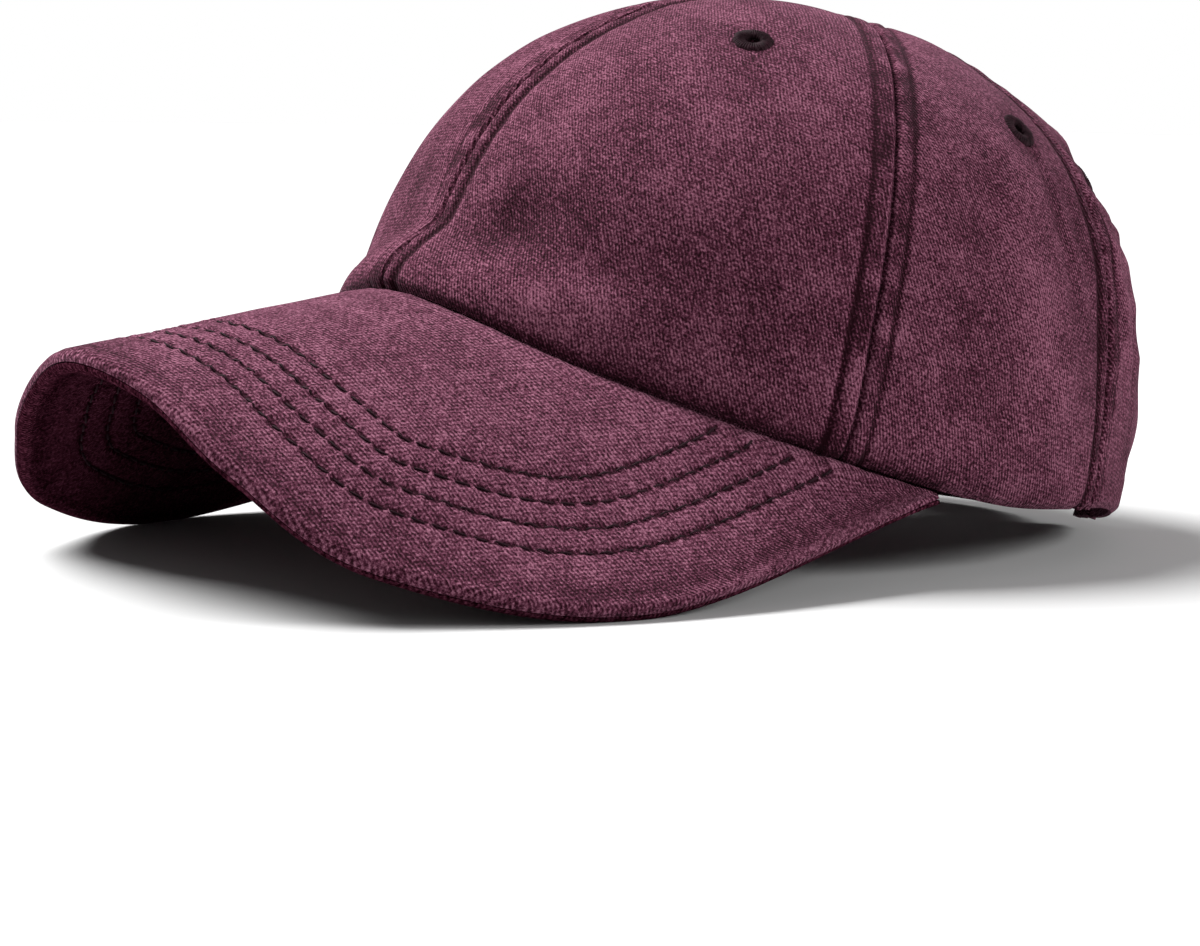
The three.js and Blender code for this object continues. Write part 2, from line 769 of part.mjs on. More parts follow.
function eyeletMeshes() {
  const middle = (eyeletRadius + eyeletHole) / 2;
  const halfBand = (eyeletRadius - eyeletHole) / 2;
  const halfHeight = clothWall / 2 + eyeletProud;
  const profile = [];
  for (let i = 0; i <= eyeletBandSides; i += 1) {
    const turn = (i % eyeletBandSides) / eyeletBandSides * 2 * Math.PI;
    profile.push(new THREE.Vector2(middle + halfBand * Math.cos(turn), halfHeight * Math.sin(turn)));
  }
  return spots.map((spot) => {
    const geometry = geometryOf(solidOf(new THREE.LatheGeometry(profile, eyeletSides)));
    const mesh = named(spot.name, geometry, thread);
    mesh.position.copy(spot.place);
    mesh.quaternion.setFromUnitVectors(upright, spot.normal);
    return mesh;
  });
}

// The height of the highest cloth the button covers
function buttonSeat() {
  let seat = 0;
  for (let side = 0; side < buttonSides; side += 1) {
    const azimuth = (2 * side / buttonSides - 1) * Math.PI;
    for (let rise = topRise(azimuth); rise > nearTopShare; rise -= 0.005) {
      const point = crownFace(azimuth, rise, 0);
      if (Math.hypot(point.x, point.y - topShift) < buttonRadius + buttonClearance) {
        seat = Math.max(seat, point.z);
      }
    }
  }
  return seat;
}

function button() {
  const profile = [new THREE.Vector2(0, 0), new THREE.Vector2(buttonRadius * buttonFootShare, 0)];
  for (let i = 0; i < buttonSteps; i += 1) {
    const turn = i / buttonSteps * Math.PI / 2;
    profile.push(new THREE.Vector2(
      buttonRadius * Math.cos(turn) ** buttonRoundness,
      buttonHeight * lerp(buttonWallShare, 1, Math.sin(turn)),
    ));
  }
  profile.push(new THREE.Vector2(0, buttonHeight));
  const geometry = new THREE.LatheGeometry(profile, buttonSides);
  geometry.rotateX(Math.PI / 2);
  const mesh = named('button', geometryOf(solidOf(geometry)), cloth);
  mesh.position.set(0, topShift, buttonSeat() + pieceGap);
  return mesh;
}

const cap = new THREE.Group();
cap.add(
  ...panelMeshes(),
  named('peak_upper', peakGeometry(true), cloth),
  named('peak_lower', peakGeometry(false), underCloth),
  button(),
  ...eyeletMeshes(),
  archBand(),
  keyholeBand(),
  ...strapMeshes(),
  buckleFrame(),
  buckleClamp(),
);

// The cap leans back until it stands on the sides of its peak and the back of its rim
function lowest(lean, ahead) {
  cap.rotation.x = -lean;
  cap.updateMatrixWorld(true);
  const point = new THREE.Vector3();
  let low = Infinity;
  for (const mesh of cap.children) {
    const spread = mesh.geometry.getAttribute('position');
    for (let i = 0; i < spread.count; i += 1) {
      point.fromBufferAttribute(spread, i).applyMatrix4(mesh.matrixWorld);
      if (point.y < 0 === ahead) {
        low = Math.min(low, point.z);
      }
    }
  }
  return low;
}

function restingLean() {
  let low = 0;
  let high = Math.PI / 4;
  for (let i = 0; i < halvings; i += 1) {
    const middle = (low + high) / 2;
    if (lowest(middle, true) < lowest(middle, false)) {
      low = middle;
    } else {
      high = middle;
    }
  }
  return (low + high) / 2;
}

cap.rotation.x = -restingLean();
cap.updateMatrixWorld(true);
const extent = new THREE.Box3().setFromObject(cap, true);
const centre = extent.getCenter(new THREE.Vector3());
cap.position.set(-centre.x, -centre.y, -extent.min.z);

const group = new THREE.Group();
group.add(cap);

export default group;
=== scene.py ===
import math

import bpy
import numpy as np
from mathutils import Matrix, Vector


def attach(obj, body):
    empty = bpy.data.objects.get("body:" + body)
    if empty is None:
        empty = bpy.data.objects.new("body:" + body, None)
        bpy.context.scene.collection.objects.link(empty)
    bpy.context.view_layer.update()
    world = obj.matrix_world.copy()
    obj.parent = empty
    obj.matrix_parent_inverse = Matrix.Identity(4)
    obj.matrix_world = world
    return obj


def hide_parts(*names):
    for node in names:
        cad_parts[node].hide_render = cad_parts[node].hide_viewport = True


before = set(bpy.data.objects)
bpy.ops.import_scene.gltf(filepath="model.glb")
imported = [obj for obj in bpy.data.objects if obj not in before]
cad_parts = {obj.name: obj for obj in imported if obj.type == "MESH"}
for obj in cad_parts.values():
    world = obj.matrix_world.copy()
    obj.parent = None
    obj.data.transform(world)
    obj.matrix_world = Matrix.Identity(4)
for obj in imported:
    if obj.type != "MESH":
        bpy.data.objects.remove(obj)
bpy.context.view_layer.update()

# The cap's own frame is in millimetres: z = 0 is the level where the crown is widest, -y is
# the peak and +x the wearer's left. The sizes here repeat those of the CAD model.
PIECE_GAP = 0.3
LEAN = math.radians(16.015)
PLACE = np.array([0.0, 45.903, 26.297])
METRE = 0.001
HALVINGS = 34

HEAD_HALF_WIDTH = 90.0
FRONT_REACH = 101.0
REAR_REACH = 88.6
CROWN_HEIGHT = 97.5
CLOTH_WALL = 1.6
FRONT_SEAM_DRIFT = math.radians(3)
PLAN_POWER = 2.02
SIDE_POWER = 2.3
FRONT_POWER = 2.24
REAR_POWER = 2.65
TOP_SHIFT = -1.4
RIM_TUCK = 0.03
TUCK_HEIGHT = 10.0
CROWN_HOLE = 5.0
FRONT_FLARE = 11.4
FLARE_ANGLE = math.radians(23)
FLARE_TOP = 17.0
FLARE_CREASE = 0.42
PANEL_PUFF = 1.5
TOP_DIP = 2.7
DIP_RADIUS = 16.0
SEAMS = [0, 62, 110, 180]
RIM_HEIGHTS = [0.039, -0.061, -0.112, -0.117, -0.035, -0.027, 0.004]

# Azimuth, height, lean, length, width, depth: degrees and shares of the crown's height,
# with depth in millimetres. The first 18 rows are the CAD model's folds, three times as deep.
FOLDS = [
    (13, 0.25, 66, 0.16, 0.08, -2.1),
    (22, 0.08, 84, 0.22, 0.06, 1.2),
    (-14, 0.3, -60, 0.2, 0.08, -1.5),
    (30, 0.2, 84, 0.4, 0.1, -1.05),
    (78, 0.5, 8, 0.36, 0.07, -1.05),
    (88, 0.34, -10, 0.4, 0.08, 1.2),
    (103, 0.42, -12, 0.42, 0.07, -1.8),
    (120, 0.4, -14, 0.36, 0.07, 1.05),
    (131, 0.45, -12, 0.4, 0.06, -2.1),
    (150, 0.62, -38, 0.3, 0.06, 1.8),
    (147, 0.4, -52, 0.34, 0.08, -2.4),
    (137, 0.2, -30, 0.3, 0.08, 1.5),
    (-40, 0.4, 20, 0.4, 0.1, -1.2),
    (-84, 0.4, 12, 0.4, 0.09, 1.2),
    (-101, 0.4, 10, 0.4, 0.08, -1.5),
    (-128, 0.4, 16, 0.4, 0.08, 1.5),
    (-145, 0.44, 46, 0.34, 0.08, -2.4),
    (-151, 0.64, 40, 0.3, 0.06, 1.8),
    (96, 0.52, -10, 0.3, 0.03, -0.9),
    (101, 0.46, -14, 0.3, 0.026, 0.8),
    (108, 0.34, -4, 0.34, 0.03, -0.9),
    (115, 0.5, -12, 0.32, 0.03, 1.0),
    (122, 0.3, -8, 0.3, 0.03, -0.9),
    (70, 0.12, 58, 0.12, 0.03, 0.8),
    (84, 0.1, 36, 0.16, 0.03, -0.7),
    (94, 0.12, 24, 0.16, 0.03, 0.8),
    (-106, 0.42, 8, 0.34, 0.03, -0.9),
    (-116, 0.5, 12, 0.32, 0.03, 1.0),
]
# Share, cell and seed of each layer of crumples, and the factor on height that makes them tall
CRUMPLES = [(0.5, 24, 3, 0.6), (0.3, 11, 5, 0.7)]

# The creases of the back panels spread from here, and fade out from CREASE_FADE to CREASE_END
CREASE_HEIGHT = 68.0
CREASE_FADE = 70.0
CREASE_END = 100.0
CREASE_ROUND = 0.006
# Depth, level, spokes, twist, length and seed of the wide and the fine creases
CREASES = [(2.3, 0.35, 3.1, 0.011, 46, 17), (1.3, 0.3, 6.3, -0.02, 27, 18)]

EYELET_OUTER = 4.7
EYELET_HOLE = 1.5
EYELETS = [("front", 33, 0.787), ("side", 92, 0.757), ("back", 144.8, 0.78)]

ARCH_HALF = 46.6
ARCH_HEIGHT = 57.3
ARCH_POWER = 2.35
ARCH_INNER_HALF = 37.8
ARCH_INNER_HEIGHT = 47.6
ARCH_INNER_POWER = 3.0
ARCH_FOOT = -2.6
ARCH_FOOT_SHARE = 0.04
FACING_WALL = 1.8
FACING_RECESS = 0.5
GATHER = 0.35
KEYHOLE_FOOT = ARCH_HEIGHT + 2 * PIECE_GAP
KEYHOLE_WIDEST = 0.825 * CROWN_HEIGHT
KEYHOLE_TOP = 0.962 * CROWN_HEIGHT
KEYHOLE_FOOT_HALF = 9.5
KEYHOLE_HALF = 16.0
KEYHOLE_POWER = 2.3
HOLE_WIDEST = 0.832 * CROWN_HEIGHT
HOLE_TOP = 0.895 * CROWN_HEIGHT
HOLE_HALF = 6.6
HOLE_POWER = 2.6

PEAK_HALF_WIDTH = 90.0
PEAK_REACH = 69.7
PEAK_CURL = 45.2
PEAK_THICKNESS = 5.4
PEAK_CORNER = math.radians(78)
PEAK_LIP = 2.6
PEAK_LAND = 0.35
PEAK_TONGUE = 4.0
PEAK_CORNER_THICKNESS = 2.4
PEAK_CORNER_WIDTH = 1.6
PEAK_TAPER_START = 0.86
# Edge of the peak from its centre: across as a share of its half width, forward as a share of
# the way from the corner to the tip, and down as a share of its curl
PEAK_ROWS = [
    (0, 1, 0.398),
    (0.244, 0.969, 0.489),
    (0.472, 0.907, 0.752),
    (0.732, 0.768, 1.02),
    (1, 0.457, 0.9),
]

BUTTON_RADIUS = 7.6
BUTTON_HEIGHT = 4.4

STRAP_WIDTH = 17.9
STRAP_WALL = 1.6
# Across as a share of the arch's half width; middle and width as shares of STRAP_WIDTH
STRAP_ROWS = [
    (1, 0.48, 0.98),
    (0.6, 0.46, 1),
    (0.15, 0.4, 1),
    (-0.25, 0.39, 1),
    (-0.52, 0.38, 1.05),
    (-0.74, 0.39, 1.06),
]
STRAP_END_REACH = 17.0
STRAP_END_LIFT = 2.2
STRAP_DEPTH = FACING_RECESS + FACING_WALL + GATHER + PIECE_GAP

BUCKLE_WIDTH = 16.7
BUCKLE_HEIGHT = 23.0
BUCKLE_WIRE = 1.5
BUCKLE_CORNER = 3.2
BUCKLE_RIGHT = -33.2
BUCKLE_MIDDLE = 8.6
CLAMP_WIDTH = 3.5
CLAMP_HEIGHT = 19.2
CLAMP_WALL = 1.1

# Sewing
SEAM_STITCH = 4.2
SEAM_STITCH_WIDE = 5.3
STITCH_PITCH = 3.0
STITCH_LENGTH = 2.3
STITCH_RADIUS = 0.24
STITCH_DEPTH = 0.62
SMALL_STITCH_PITCH = 2.6
SMALL_STITCH_LENGTH = 1.95
FACING_STITCH = 2.6
FACING_STITCH_DEPTH = 0.85
STRAP_STITCH = 2.1
STRAP_STITCH_DEPTH = 0.25
PEAK_STITCH_FIRST = 16.2
PEAK_STITCH_SHIFT = 1.5
PEAK_STITCH_PITCH = 4.5
PEAK_STITCH_LENGTH = 3.3
PEAK_STITCH_SPACING = 6.5
PEAK_STITCH_STAGGER = 0.7
PEAK_STITCH_RISE = 0.14
PEAK_STITCH_ROWS = 4
ROW_CENTRE = -62.0

# Lines along an edge: distance from it, width, relief and tone. The tone is painted shade in the grooves
# and painted highlight on the raised edges beside them.
SEAM_LINES = [(0, 0.5, -0.55, -0.65), (1.1, 0.45, 0, 0.26)]
SEWN_LINES = [(0, 0.8, -0.7, -0.85), (1.5, 0.7, 0, 0.14)]
CUT_LINES = [(0, 1.0, -0.5, 0), (0, 1.3, 0, -0.55)]
EYELET_LINES = [(0, 6.0, -0.5, 0), (0, 6.5, 0, -0.35)]
FACING_LINES = [(FACING_STITCH, 0.55, -0.55, -0.75), (0, 0.35, -0.6, 0), (0, 0.5, 0, -0.6)]
ARCH_LIP_LINES = [(0.7, 0.6, 0.35, 0.35), (0, 0.35, -0.5, 0), (2.0, 0.6, 0, -0.25)]
KEYHOLE_LIP_LINES = [(0.6, 0.5, 0.25, 0.2), (0, 0.35, -0.5, 0)]
STRAP_EDGE_LINES = [(1.1, 0.8, 0.2, 0), (0, 0.4, -0.7, 0), (0.9, 0.6, 0, 0.3)]
STRAP_SEWN_LINES = [(STRAP_STITCH, 0.5, -0.4, -0.55)]

# Rough sizes for laying out the cloth: the crown's radius, its height along the cloth, the arch's
# radius and half the length of the peak's edge
CROWN_RADIUS = 95
WALL_LENGTH = 145.0
ARCH_RADIUS = 52
PEAK_EDGE_LENGTH = 190

# Places of the smaller pieces in the cloth's pattern, apart from the crown's
FACING_GRAIN = [900, 0]
STRAP_GRAIN = [1300, 0]
BUTTON_GRAIN = [1700, 0]


def lerp(a, b, t):
    return a + (b - a) * t


def smoothstep(low, high, x):
    t = np.clip((x - low) / (high - low), 0, 1)
    return t * t * (3 - 2 * t)


def bell(x, width):
    return np.exp(-((x / width) ** 2))


def unit(v):
    return v / np.maximum(np.linalg.norm(v, axis=-1, keepdims=True), 1e-12)


def smooth_value(values, place):
    values = np.asarray(values, float)
    last = len(values) - 1
    at = np.clip(place, 0, 1) * last
    i = np.minimum(at.astype(int), last - 1)
    s = at - i
    slope = np.zeros(last + 1)
    slope[1:-1] = (values[2:] - values[:-2]) / 2
    start = values[i] * (1 + 2 * s) * (1 - s) ** 2 + slope[i] * s * (1 - s) ** 2
    end = values[i + 1] * s * s * (3 - 2 * s) + slope[i + 1] * s * s * (s - 1)
    return start + end


def hashed(a, b, c, seed):
    n = (a * 374761393 + b * 668265263 + c * 1103515245 + seed * 1274126177) & 0xFFFFFFFF
    n = ((n ^ (n >> 13)) * 1274126177) & 0xFFFFFFFF
    return ((n ^ (n >> 16)) & 0xFFFF) / 32767.5 - 1


def noise(points, size, seed=0):
    """Smooth noise from -1 to 1 at points, with cells of a size in millimetres."""
    p = points / size
    i = np.floor(p).astype(np.int64)
    f = p - i
    f = f * f * (3 - 2 * f)
    total = 0
    for dx, dy, dz in np.ndindex(2, 2, 2):
        share = np.abs(1 - dx - f[..., 0]) * np.abs(1 - dy - f[..., 1]) * np.abs(1 - dz - f[..., 2])
        total = total + share * hashed(i[..., 0] + dx, i[..., 1] + dy, i[..., 2] + dz, seed)
    return total


def ripple(s, length, seed):
    """An uneven wave along s."""
    turn = 2 * np.pi * s / length
    drift = 1.1 * np.sin(turn / 3.7 + 2.3 * seed) + 0.7 * np.sin(turn / 7.9 + seed)
    return np.cos(turn + drift + 1.7 * seed)


def rounded(x, y, power):
    """Distance from the middle of a rounded outline whose edge is at 1."""
    return (x ** power + y ** power) ** (1 / power)


def lines(away, rows):
    """Relief and tone of the grooves and ridges that run along an edge, the tone being painted shade in the
    grooves and painted highlight on the ridges.
    """
    relief = tone = 0
    for place, width, high, painted_shading in rows:
        shape = bell(away - place, width)
        relief = relief + high * shape
        tone = tone + painted_shading * shape
    return relief, tone


# The crown's form

def rim_height(azimuth):
    return CROWN_HEIGHT * smooth_value(RIM_HEIGHTS, np.abs(azimuth) / np.pi)


def plan_radius(azimuth):
    reach = np.where(np.cos(azimuth) > 0, FRONT_REACH, REAR_REACH)
    aside = np.abs(np.sin(azimuth)) / HEAD_HALF_WIDTH
    along = np.abs(np.cos(azimuth)) / reach
    return 1 / rounded(aside, along, PLAN_POWER)


def height_of(azimuth, rise):
    start = np.arcsin(rim_height(azimuth) / CROWN_HEIGHT)
    return CROWN_HEIGHT * np.sin(start + (np.pi / 2 - start) * rise)


def rise_of(azimuth, height):
    start = np.arcsin(rim_height(azimuth) / CROWN_HEIGHT)
    return (np.arcsin(np.clip(height / CROWN_HEIGHT, -1, 1)) - start) / (np.pi / 2 - start)


def crown_point(azimuth, rise):
    height = height_of(azimuth, rise)
    share = np.clip(height / CROWN_HEIGHT, 0, 1)
    end_power = np.where(np.cos(azimuth) > 0, FRONT_POWER, REAR_POWER)
    power = SIDE_POWER + (end_power - SIDE_POWER) * np.cos(azimuth) ** 2
    above = (1 - share ** power) ** (1 / power)
    opening = np.where(height < 0, 1 - RIM_TUCK * (height / TUCK_HEIGHT) ** 2, above)
    up = np.clip((height - rim_height(azimuth)) / FLARE_TOP, 0, None)
    below = 1 - up * up
    flare = FRONT_FLARE * bell(azimuth, FLARE_ANGLE) * (below + np.hypot(below, FLARE_CREASE)) / 2
    radius = plan_radius(azimuth) * opening + flare
    return np.stack([radius * np.sin(azimuth), -radius * np.cos(azimuth) + TOP_SHIFT * share, height], -1)


def crown_normal(azimuth, rise):
    step = 0.001
    around = crown_point(azimuth + step, rise) - crown_point(azimuth - step, rise)
    up = crown_point(azimuth, rise + step) - crown_point(azimuth, rise - step)
    return unit(np.cross(around, up))


def fold_relief(azimuth, height):
    relief = 0
    for turn, level, lean, length, width, depth in FOLDS:
        away = azimuth - math.radians(turn)
        around = HEAD_HALF_WIDTH * np.arctan2(np.sin(away), np.cos(away))
        up = height - level * CROWN_HEIGHT
        lean = math.radians(lean)
        along = (up * math.cos(lean) + around * math.sin(lean)) / (length * CROWN_HEIGHT)
        across = (around * math.cos(lean) - up * math.sin(lean)) / (width * CROWN_HEIGHT)
        relief = relief + depth * np.exp(-2 * along ** 2 - across ** 2)
    return relief


def back_creases(point):
    """Creases of the back panels, spreading from low in the keyhole."""
    up = point[..., 2] - CREASE_HEIGHT
    aside = np.abs(point[..., 0])
    reach = np.hypot(up, aside)
    bearing = np.arctan2(up, aside + 1e-6)
    side = np.where(point[..., 0] > 0, 0.0, 40.0)
    spread = smoothstep(12, 30, reach) * (1 - smoothstep(CREASE_FADE, CREASE_END, reach))
    relief = 0
    for depth, level, spokes, twist, length, seed in CREASES:
        place = np.stack([bearing * spokes + twist * reach, reach / length, side], -1)
        relief = relief + depth * (level - np.sqrt(noise(place, 1, seed) ** 2 + CREASE_ROUND))
    return spread * smoothstep(15, 45, point[..., 1]) * relief


def crown_relief(azimuth, rise):
    turn = np.degrees(np.abs(azimuth))
    after = np.clip(np.searchsorted(SEAMS, turn), 1, len(SEAMS) - 1)
    seams = np.asarray(SEAMS, float)
    share = np.clip((turn - seams[after - 1]) / (seams[after] - seams[after - 1]), 0, 1)
    full = 1 - np.clip(np.abs(2 * rise - 1), 0, 1) ** 4
    puff = PANEL_PUFF * full * (np.sin(np.pi * share) ** 0.8 - 0.5)
    point = crown_point(azimuth, rise)
    dip = TOP_DIP * bell(np.hypot(point[..., 0], point[..., 1] - TOP_SHIFT), DIP_RADIUS)
    settled = np.clip(rise / 0.125, 0, 1) * np.clip((1 - rise) / 0.25, 0, 1)
    crumple = sum(share * noise(point * [1, 1, tall], size, seed) for share, size, seed, tall in CRUMPLES)
    return puff - dip + settled * (fold_relief(azimuth, point[..., 2]) + crumple + back_creases(point))


def crown_face(azimuth, rise, depth):
    offset = crown_relief(azimuth, rise) - depth
    return crown_point(azimuth, rise) + crown_normal(azimuth, rise) * offset[..., None]


def back_azimuth(across, height):
    near = np.full(np.shape(across), np.pi / 2)
    far = np.full(np.shape(across), np.pi)
    for _ in range(HALVINGS):
        middle = (near + far) / 2
        wide = crown_point(middle, rise_of(middle, height))[..., 0] > np.abs(across)
        near = np.where(wide, middle, near)
        far = np.where(wide, far, middle)
    return np.where(across < 0, -1, 1) * (near + far) / 2


def back_face(across, height, depth):
    azimuth = back_azimuth(across, height)
    return crown_face(azimuth, rise_of(azimuth, height), depth)


def to_frame(points):
    """From the cap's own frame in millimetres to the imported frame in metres."""
    c, s = math.cos(LEAN), math.sin(LEAN)
    x, y, z = points[..., 0], points[..., 1], points[..., 2]
    return (np.stack([x, y * c + z * s, -y * s + z * c], -1) + PLACE) * METRE


# Meshes

def mesh_piece(name, points, faces, material, stands_for=(), grain=None, tone=None, sharp=50):
    mesh = bpy.data.meshes.new(name)
    places = to_frame(points).reshape(-1, 3)
    mesh.from_pydata(places.tolist(), [], [list(map(int, face)) for face in faces])
    mesh.update()
    corners = np.zeros(len(mesh.loops), dtype=np.int32)
    mesh.loops.foreach_get("vertex_index", corners)
    if grain is not None:
        layer = mesh.uv_layers.new(name="grain")
        layer.data.foreach_set("uv", np.asarray(grain, np.float32)[corners].ravel())
    if tone is not None:
        attribute = mesh.attributes.new("tone", "FLOAT", "POINT")
        attribute.data.foreach_set("value", np.asarray(tone, np.float32))
    mesh.polygons.foreach_set("use_smooth", np.ones(len(mesh.polygons), bool))
    mesh.set_sharp_from_angle(angle=math.radians(sharp))
    mesh.materials.append(material)
    piece = bpy.data.objects.new(name, mesh)
    bpy.context.scene.collection.objects.link(piece)
    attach(piece, "root")
    if stands_for:
        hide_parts(*stands_for)


def grid_triangles(columns, rows):
    i, j = np.meshgrid(np.arange(columns), np.arange(rows))
    a = (j * (columns + 1) + i).ravel()
    b, c, d = a + 1, a + columns + 2, a + columns + 1
    return np.concatenate([np.stack([a, b, c], -1), np.stack([a, c, d], -1)])


def shell_faces(triangles, count):
    """Faces of a closed sheet: the outer side, the inner side and the walls round them."""
    edges = np.concatenate([triangles[:, [0, 1]], triangles[:, [1, 2]], triangles[:, [2, 0]]])
    keys = edges[:, 0].astype(np.int64) * count + edges[:, 1]
    back = edges[:, 1].astype(np.int64) * count + edges[:, 0]
    first, last = edges[~np.isin(keys, back)].T
    walls = np.stack([last, first, first + count, last + count], -1)
    return [*triangles.tolist(), *(triangles[:, ::-1] + count).tolist(), *walls.tolist()]


def tube_faces(rings, sections, closed=False):
    """Faces between rings of points, the last ring joined to the first where closed."""
    j, i = np.meshgrid(np.arange(rings if closed else rings - 1), np.arange(sections), indexing="ij")
    here, there = j * sections, (j + 1) % rings * sections
    after = (i + 1) % sections
    return np.stack([here + i, here + after, there + after, there + i], -1).reshape(-1, 4)


def cut_away(points, triangles, keep):
    """Cuts a flat mesh along keep = 0 and leaves what lies on its positive side."""
    inside = keep > 0
    score = inside[triangles].sum(1)
    whole = triangles[score == 3]
    extra, made, pieces = [], {}, []

    def crossing(a, b):
        key = (min(a, b), max(a, b))
        if key not in made:
            share = keep[key[0]] / (keep[key[0]] - keep[key[1]])
            made[key] = len(points) + len(extra)
            extra.append(lerp(points[key[0]], points[key[1]], share))
        return made[key]

    for triangle in triangles[(score == 1) | (score == 2)].tolist():
        outline = []
        for k in range(3):
            a, b = triangle[k], triangle[(k + 1) % 3]
            if inside[a]:
                outline.append(a)
            if inside[a] != inside[b]:
                outline.append(crossing(a, b))
        for k in range(1, len(outline) - 1):
            pieces.append([outline[0], outline[k], outline[k + 1]])
    if extra:
        points = np.concatenate([points, np.array(extra)])
        whole = np.concatenate([whole, np.array(pieces, dtype=whole.dtype)])
    used, packed = np.unique(whole, return_inverse=True)
    return points[used], packed.reshape(-1, 3)


def sheet_piece(name, node, outer, inner, triangles, material, grain, tone):
    """A closed sheet between two grids of points, which takes the place of a node."""
    points = np.concatenate([outer.reshape(-1, 3), inner.reshape(-1, 3)])
    grain = grain.reshape(-1, 2)
    mesh_piece(name, points, shell_faces(triangles, len(grain)), material, [node],
               np.concatenate([grain, grain]), np.concatenate([tone.ravel(), np.zeros(len(grain))]))


# Materials

class Nodes:
    def __init__(self, name):
        self.material = bpy.data.materials.new(name)
        self.material.use_nodes = True
        self.tree = self.material.node_tree
        self.shader = next(n for n in self.tree.nodes if n.type == "BSDF_PRINCIPLED")

    def add(self, kind, **settings):
        node = self.tree.nodes.new(kind)
        for key, value in settings.items():
            setattr(node, key, value)
        return node

    def feed(self, socket, value):
        if isinstance(value, bpy.types.NodeSocket):
            self.tree.links.new(value, socket)
        else:
            socket.default_value = value

    def math(self, operation, *values):
        node = self.add("ShaderNodeMath", operation=operation)
        for socket, value in zip(node.inputs, values):
            self.feed(socket, value)
        return node.outputs[0]

    def weighted(self, *terms):
        """The sum of each value times its weight."""
        total = None
        for value, weight in terms:
            part = self.math("MULTIPLY", value, weight)
            total = part if total is None else self.math("ADD", total, part)
        return total

    def noise(self, where, scale, detail=2.0, rough=0.5):
        node = self.add("ShaderNodeTexNoise")
        self.feed(node.inputs["Vector"], where)
        self.feed(node.inputs["Scale"], scale)
        self.feed(node.inputs["Detail"], detail)
        self.feed(node.inputs["Roughness"], rough)
        return self.math("SUBTRACT", node.outputs["Fac"], 0.5)

    def ramp(self, value, *stops):
        node = self.add("ShaderNodeValToRGB")
        self.feed(node.inputs[0], value)
        elements = node.color_ramp.elements
        while len(elements) < len(stops):
            elements.new(0.5)
        for element, (position, colour) in zip(elements, stops):
            element.position = position
            element.color = (*colour, 1)
        return node.outputs[0]

    def bump(self, height, strength, distance):
        node = self.add("ShaderNodeBump")
        self.feed(node.inputs["Height"], height)
        self.feed(node.inputs["Strength"], strength)
        self.feed(node.inputs["Distance"], distance)
        return node.outputs["Normal"]

    def finish(self, colour, normal, roughness, **settings):
        self.feed(self.shader.inputs["Base Color"], colour)
        if normal is not None:
            self.feed(self.shader.inputs["Normal"], normal)
        self.feed(self.shader.inputs["Roughness"], roughness)
        for key, value in settings.items():
            self.feed(self.shader.inputs[key.replace("_", " ")], value)
        return self.material


# Scale, detail and roughness of each noise in the cloth
CLOTH_NOISES = {
    "wobble": (260.0, 3.0, 0.6),
    "uneven": (620.0, 2.0, 0.5),
    "fuzz": (1900.0, 2.0, 0.7),
    "wash": (42.0, 3.0, 0.6),
    "blotch": (150.0, 3.0, 0.6),
    "speckle": (900.0, 2.0, 0.6),
}
RIB_PITCH = 0.74
KNOT_PITCH = 1.05


def twill(name, colours, rib_turn=116, contrast=1.0, sheen=0.045, shine=0.05):
    """Washed cotton twill: fine slanting ribs, a mottled wash, and the mesh's tone, which holds random tone
    and some wear along with painted shade in grooves, folds and recesses and painted highlight on raised
    edges.
    """
    n = Nodes(name)
    grain = n.add("ShaderNodeSeparateXYZ")
    uv = n.add("ShaderNodeUVMap", uv_map="grain")
    n.feed(grain.inputs[0], uv.outputs[0])
    u, v = grain.outputs[0], grain.outputs[1]
    place = n.add("ShaderNodeTexCoord").outputs["Object"]
    tone = n.add("ShaderNodeAttribute", attribute_name="tone").outputs["Fac"]
    noises = [n.noise(place, *values) for values in CLOTH_NOISES.values()]
    wobble, uneven, fuzz, wash, blotch, speckle = noises
    slant = math.radians(rib_turn)
    across = n.weighted((u, math.sin(slant)), (v, -math.cos(slant)), (wobble, 1.1))
    along = n.weighted((u, math.cos(slant)), (v, math.sin(slant)))
    height = n.math("ADD", n.math("MULTIPLY", uneven, 2.6), 1.0)
    rib = n.math("MULTIPLY", n.math("SINE", n.math("MULTIPLY", across, 2 * math.pi / RIB_PITCH)), height)
    knot = n.math("SINE", n.weighted((along, 2 * math.pi / KNOT_PITCH), (across, math.pi / RIB_PITCH)))
    # The tone attribute carries painted shade and painted highlight as well as random tone and wear
    value = n.weighted(
        (wash, 0.28 * contrast), (blotch, 0.42 * contrast), (speckle, 0.9), (fuzz, 2.1),
        (rib, 0.16), (knot, 0.1), (tone, 0.5),
    )
    colour = n.ramp(n.math("ADD", value, 0.5), *zip((0.1, 0.5, 0.95), colours))
    relief = n.weighted((rib, 0.5), (knot, 0.16), (fuzz, 0.8), (speckle, 0.5))
    return n.finish(colour, n.bump(relief, 0.55, 0.0003), 0.92,
                    Sheen_Weight=sheen, Sheen_Roughness=0.5, Sheen_Tint=(0.9, 0.55, 0.72, 1.0),
                    Specular_IOR_Level=shine)


def thread(name, colours):
    n = Nodes(name)
    place = n.add("ShaderNodeTexCoord").outputs["Object"]
    fuzz = n.noise(place, 1800.0, 2.0, 0.6)
    twist = n.noise(place, 700.0, 1.0)
    value = n.math("ADD", n.weighted((fuzz, 0.8), (twist, 0.9)), 0.5)
    colour = n.ramp(value, *zip((0.2, 0.85), colours))
    return n.finish(colour, n.bump(n.weighted((fuzz, 1.0), (twist, 1.0)), 0.5, 0.00015), 0.75,
                    Specular_IOR_Level=0.1)


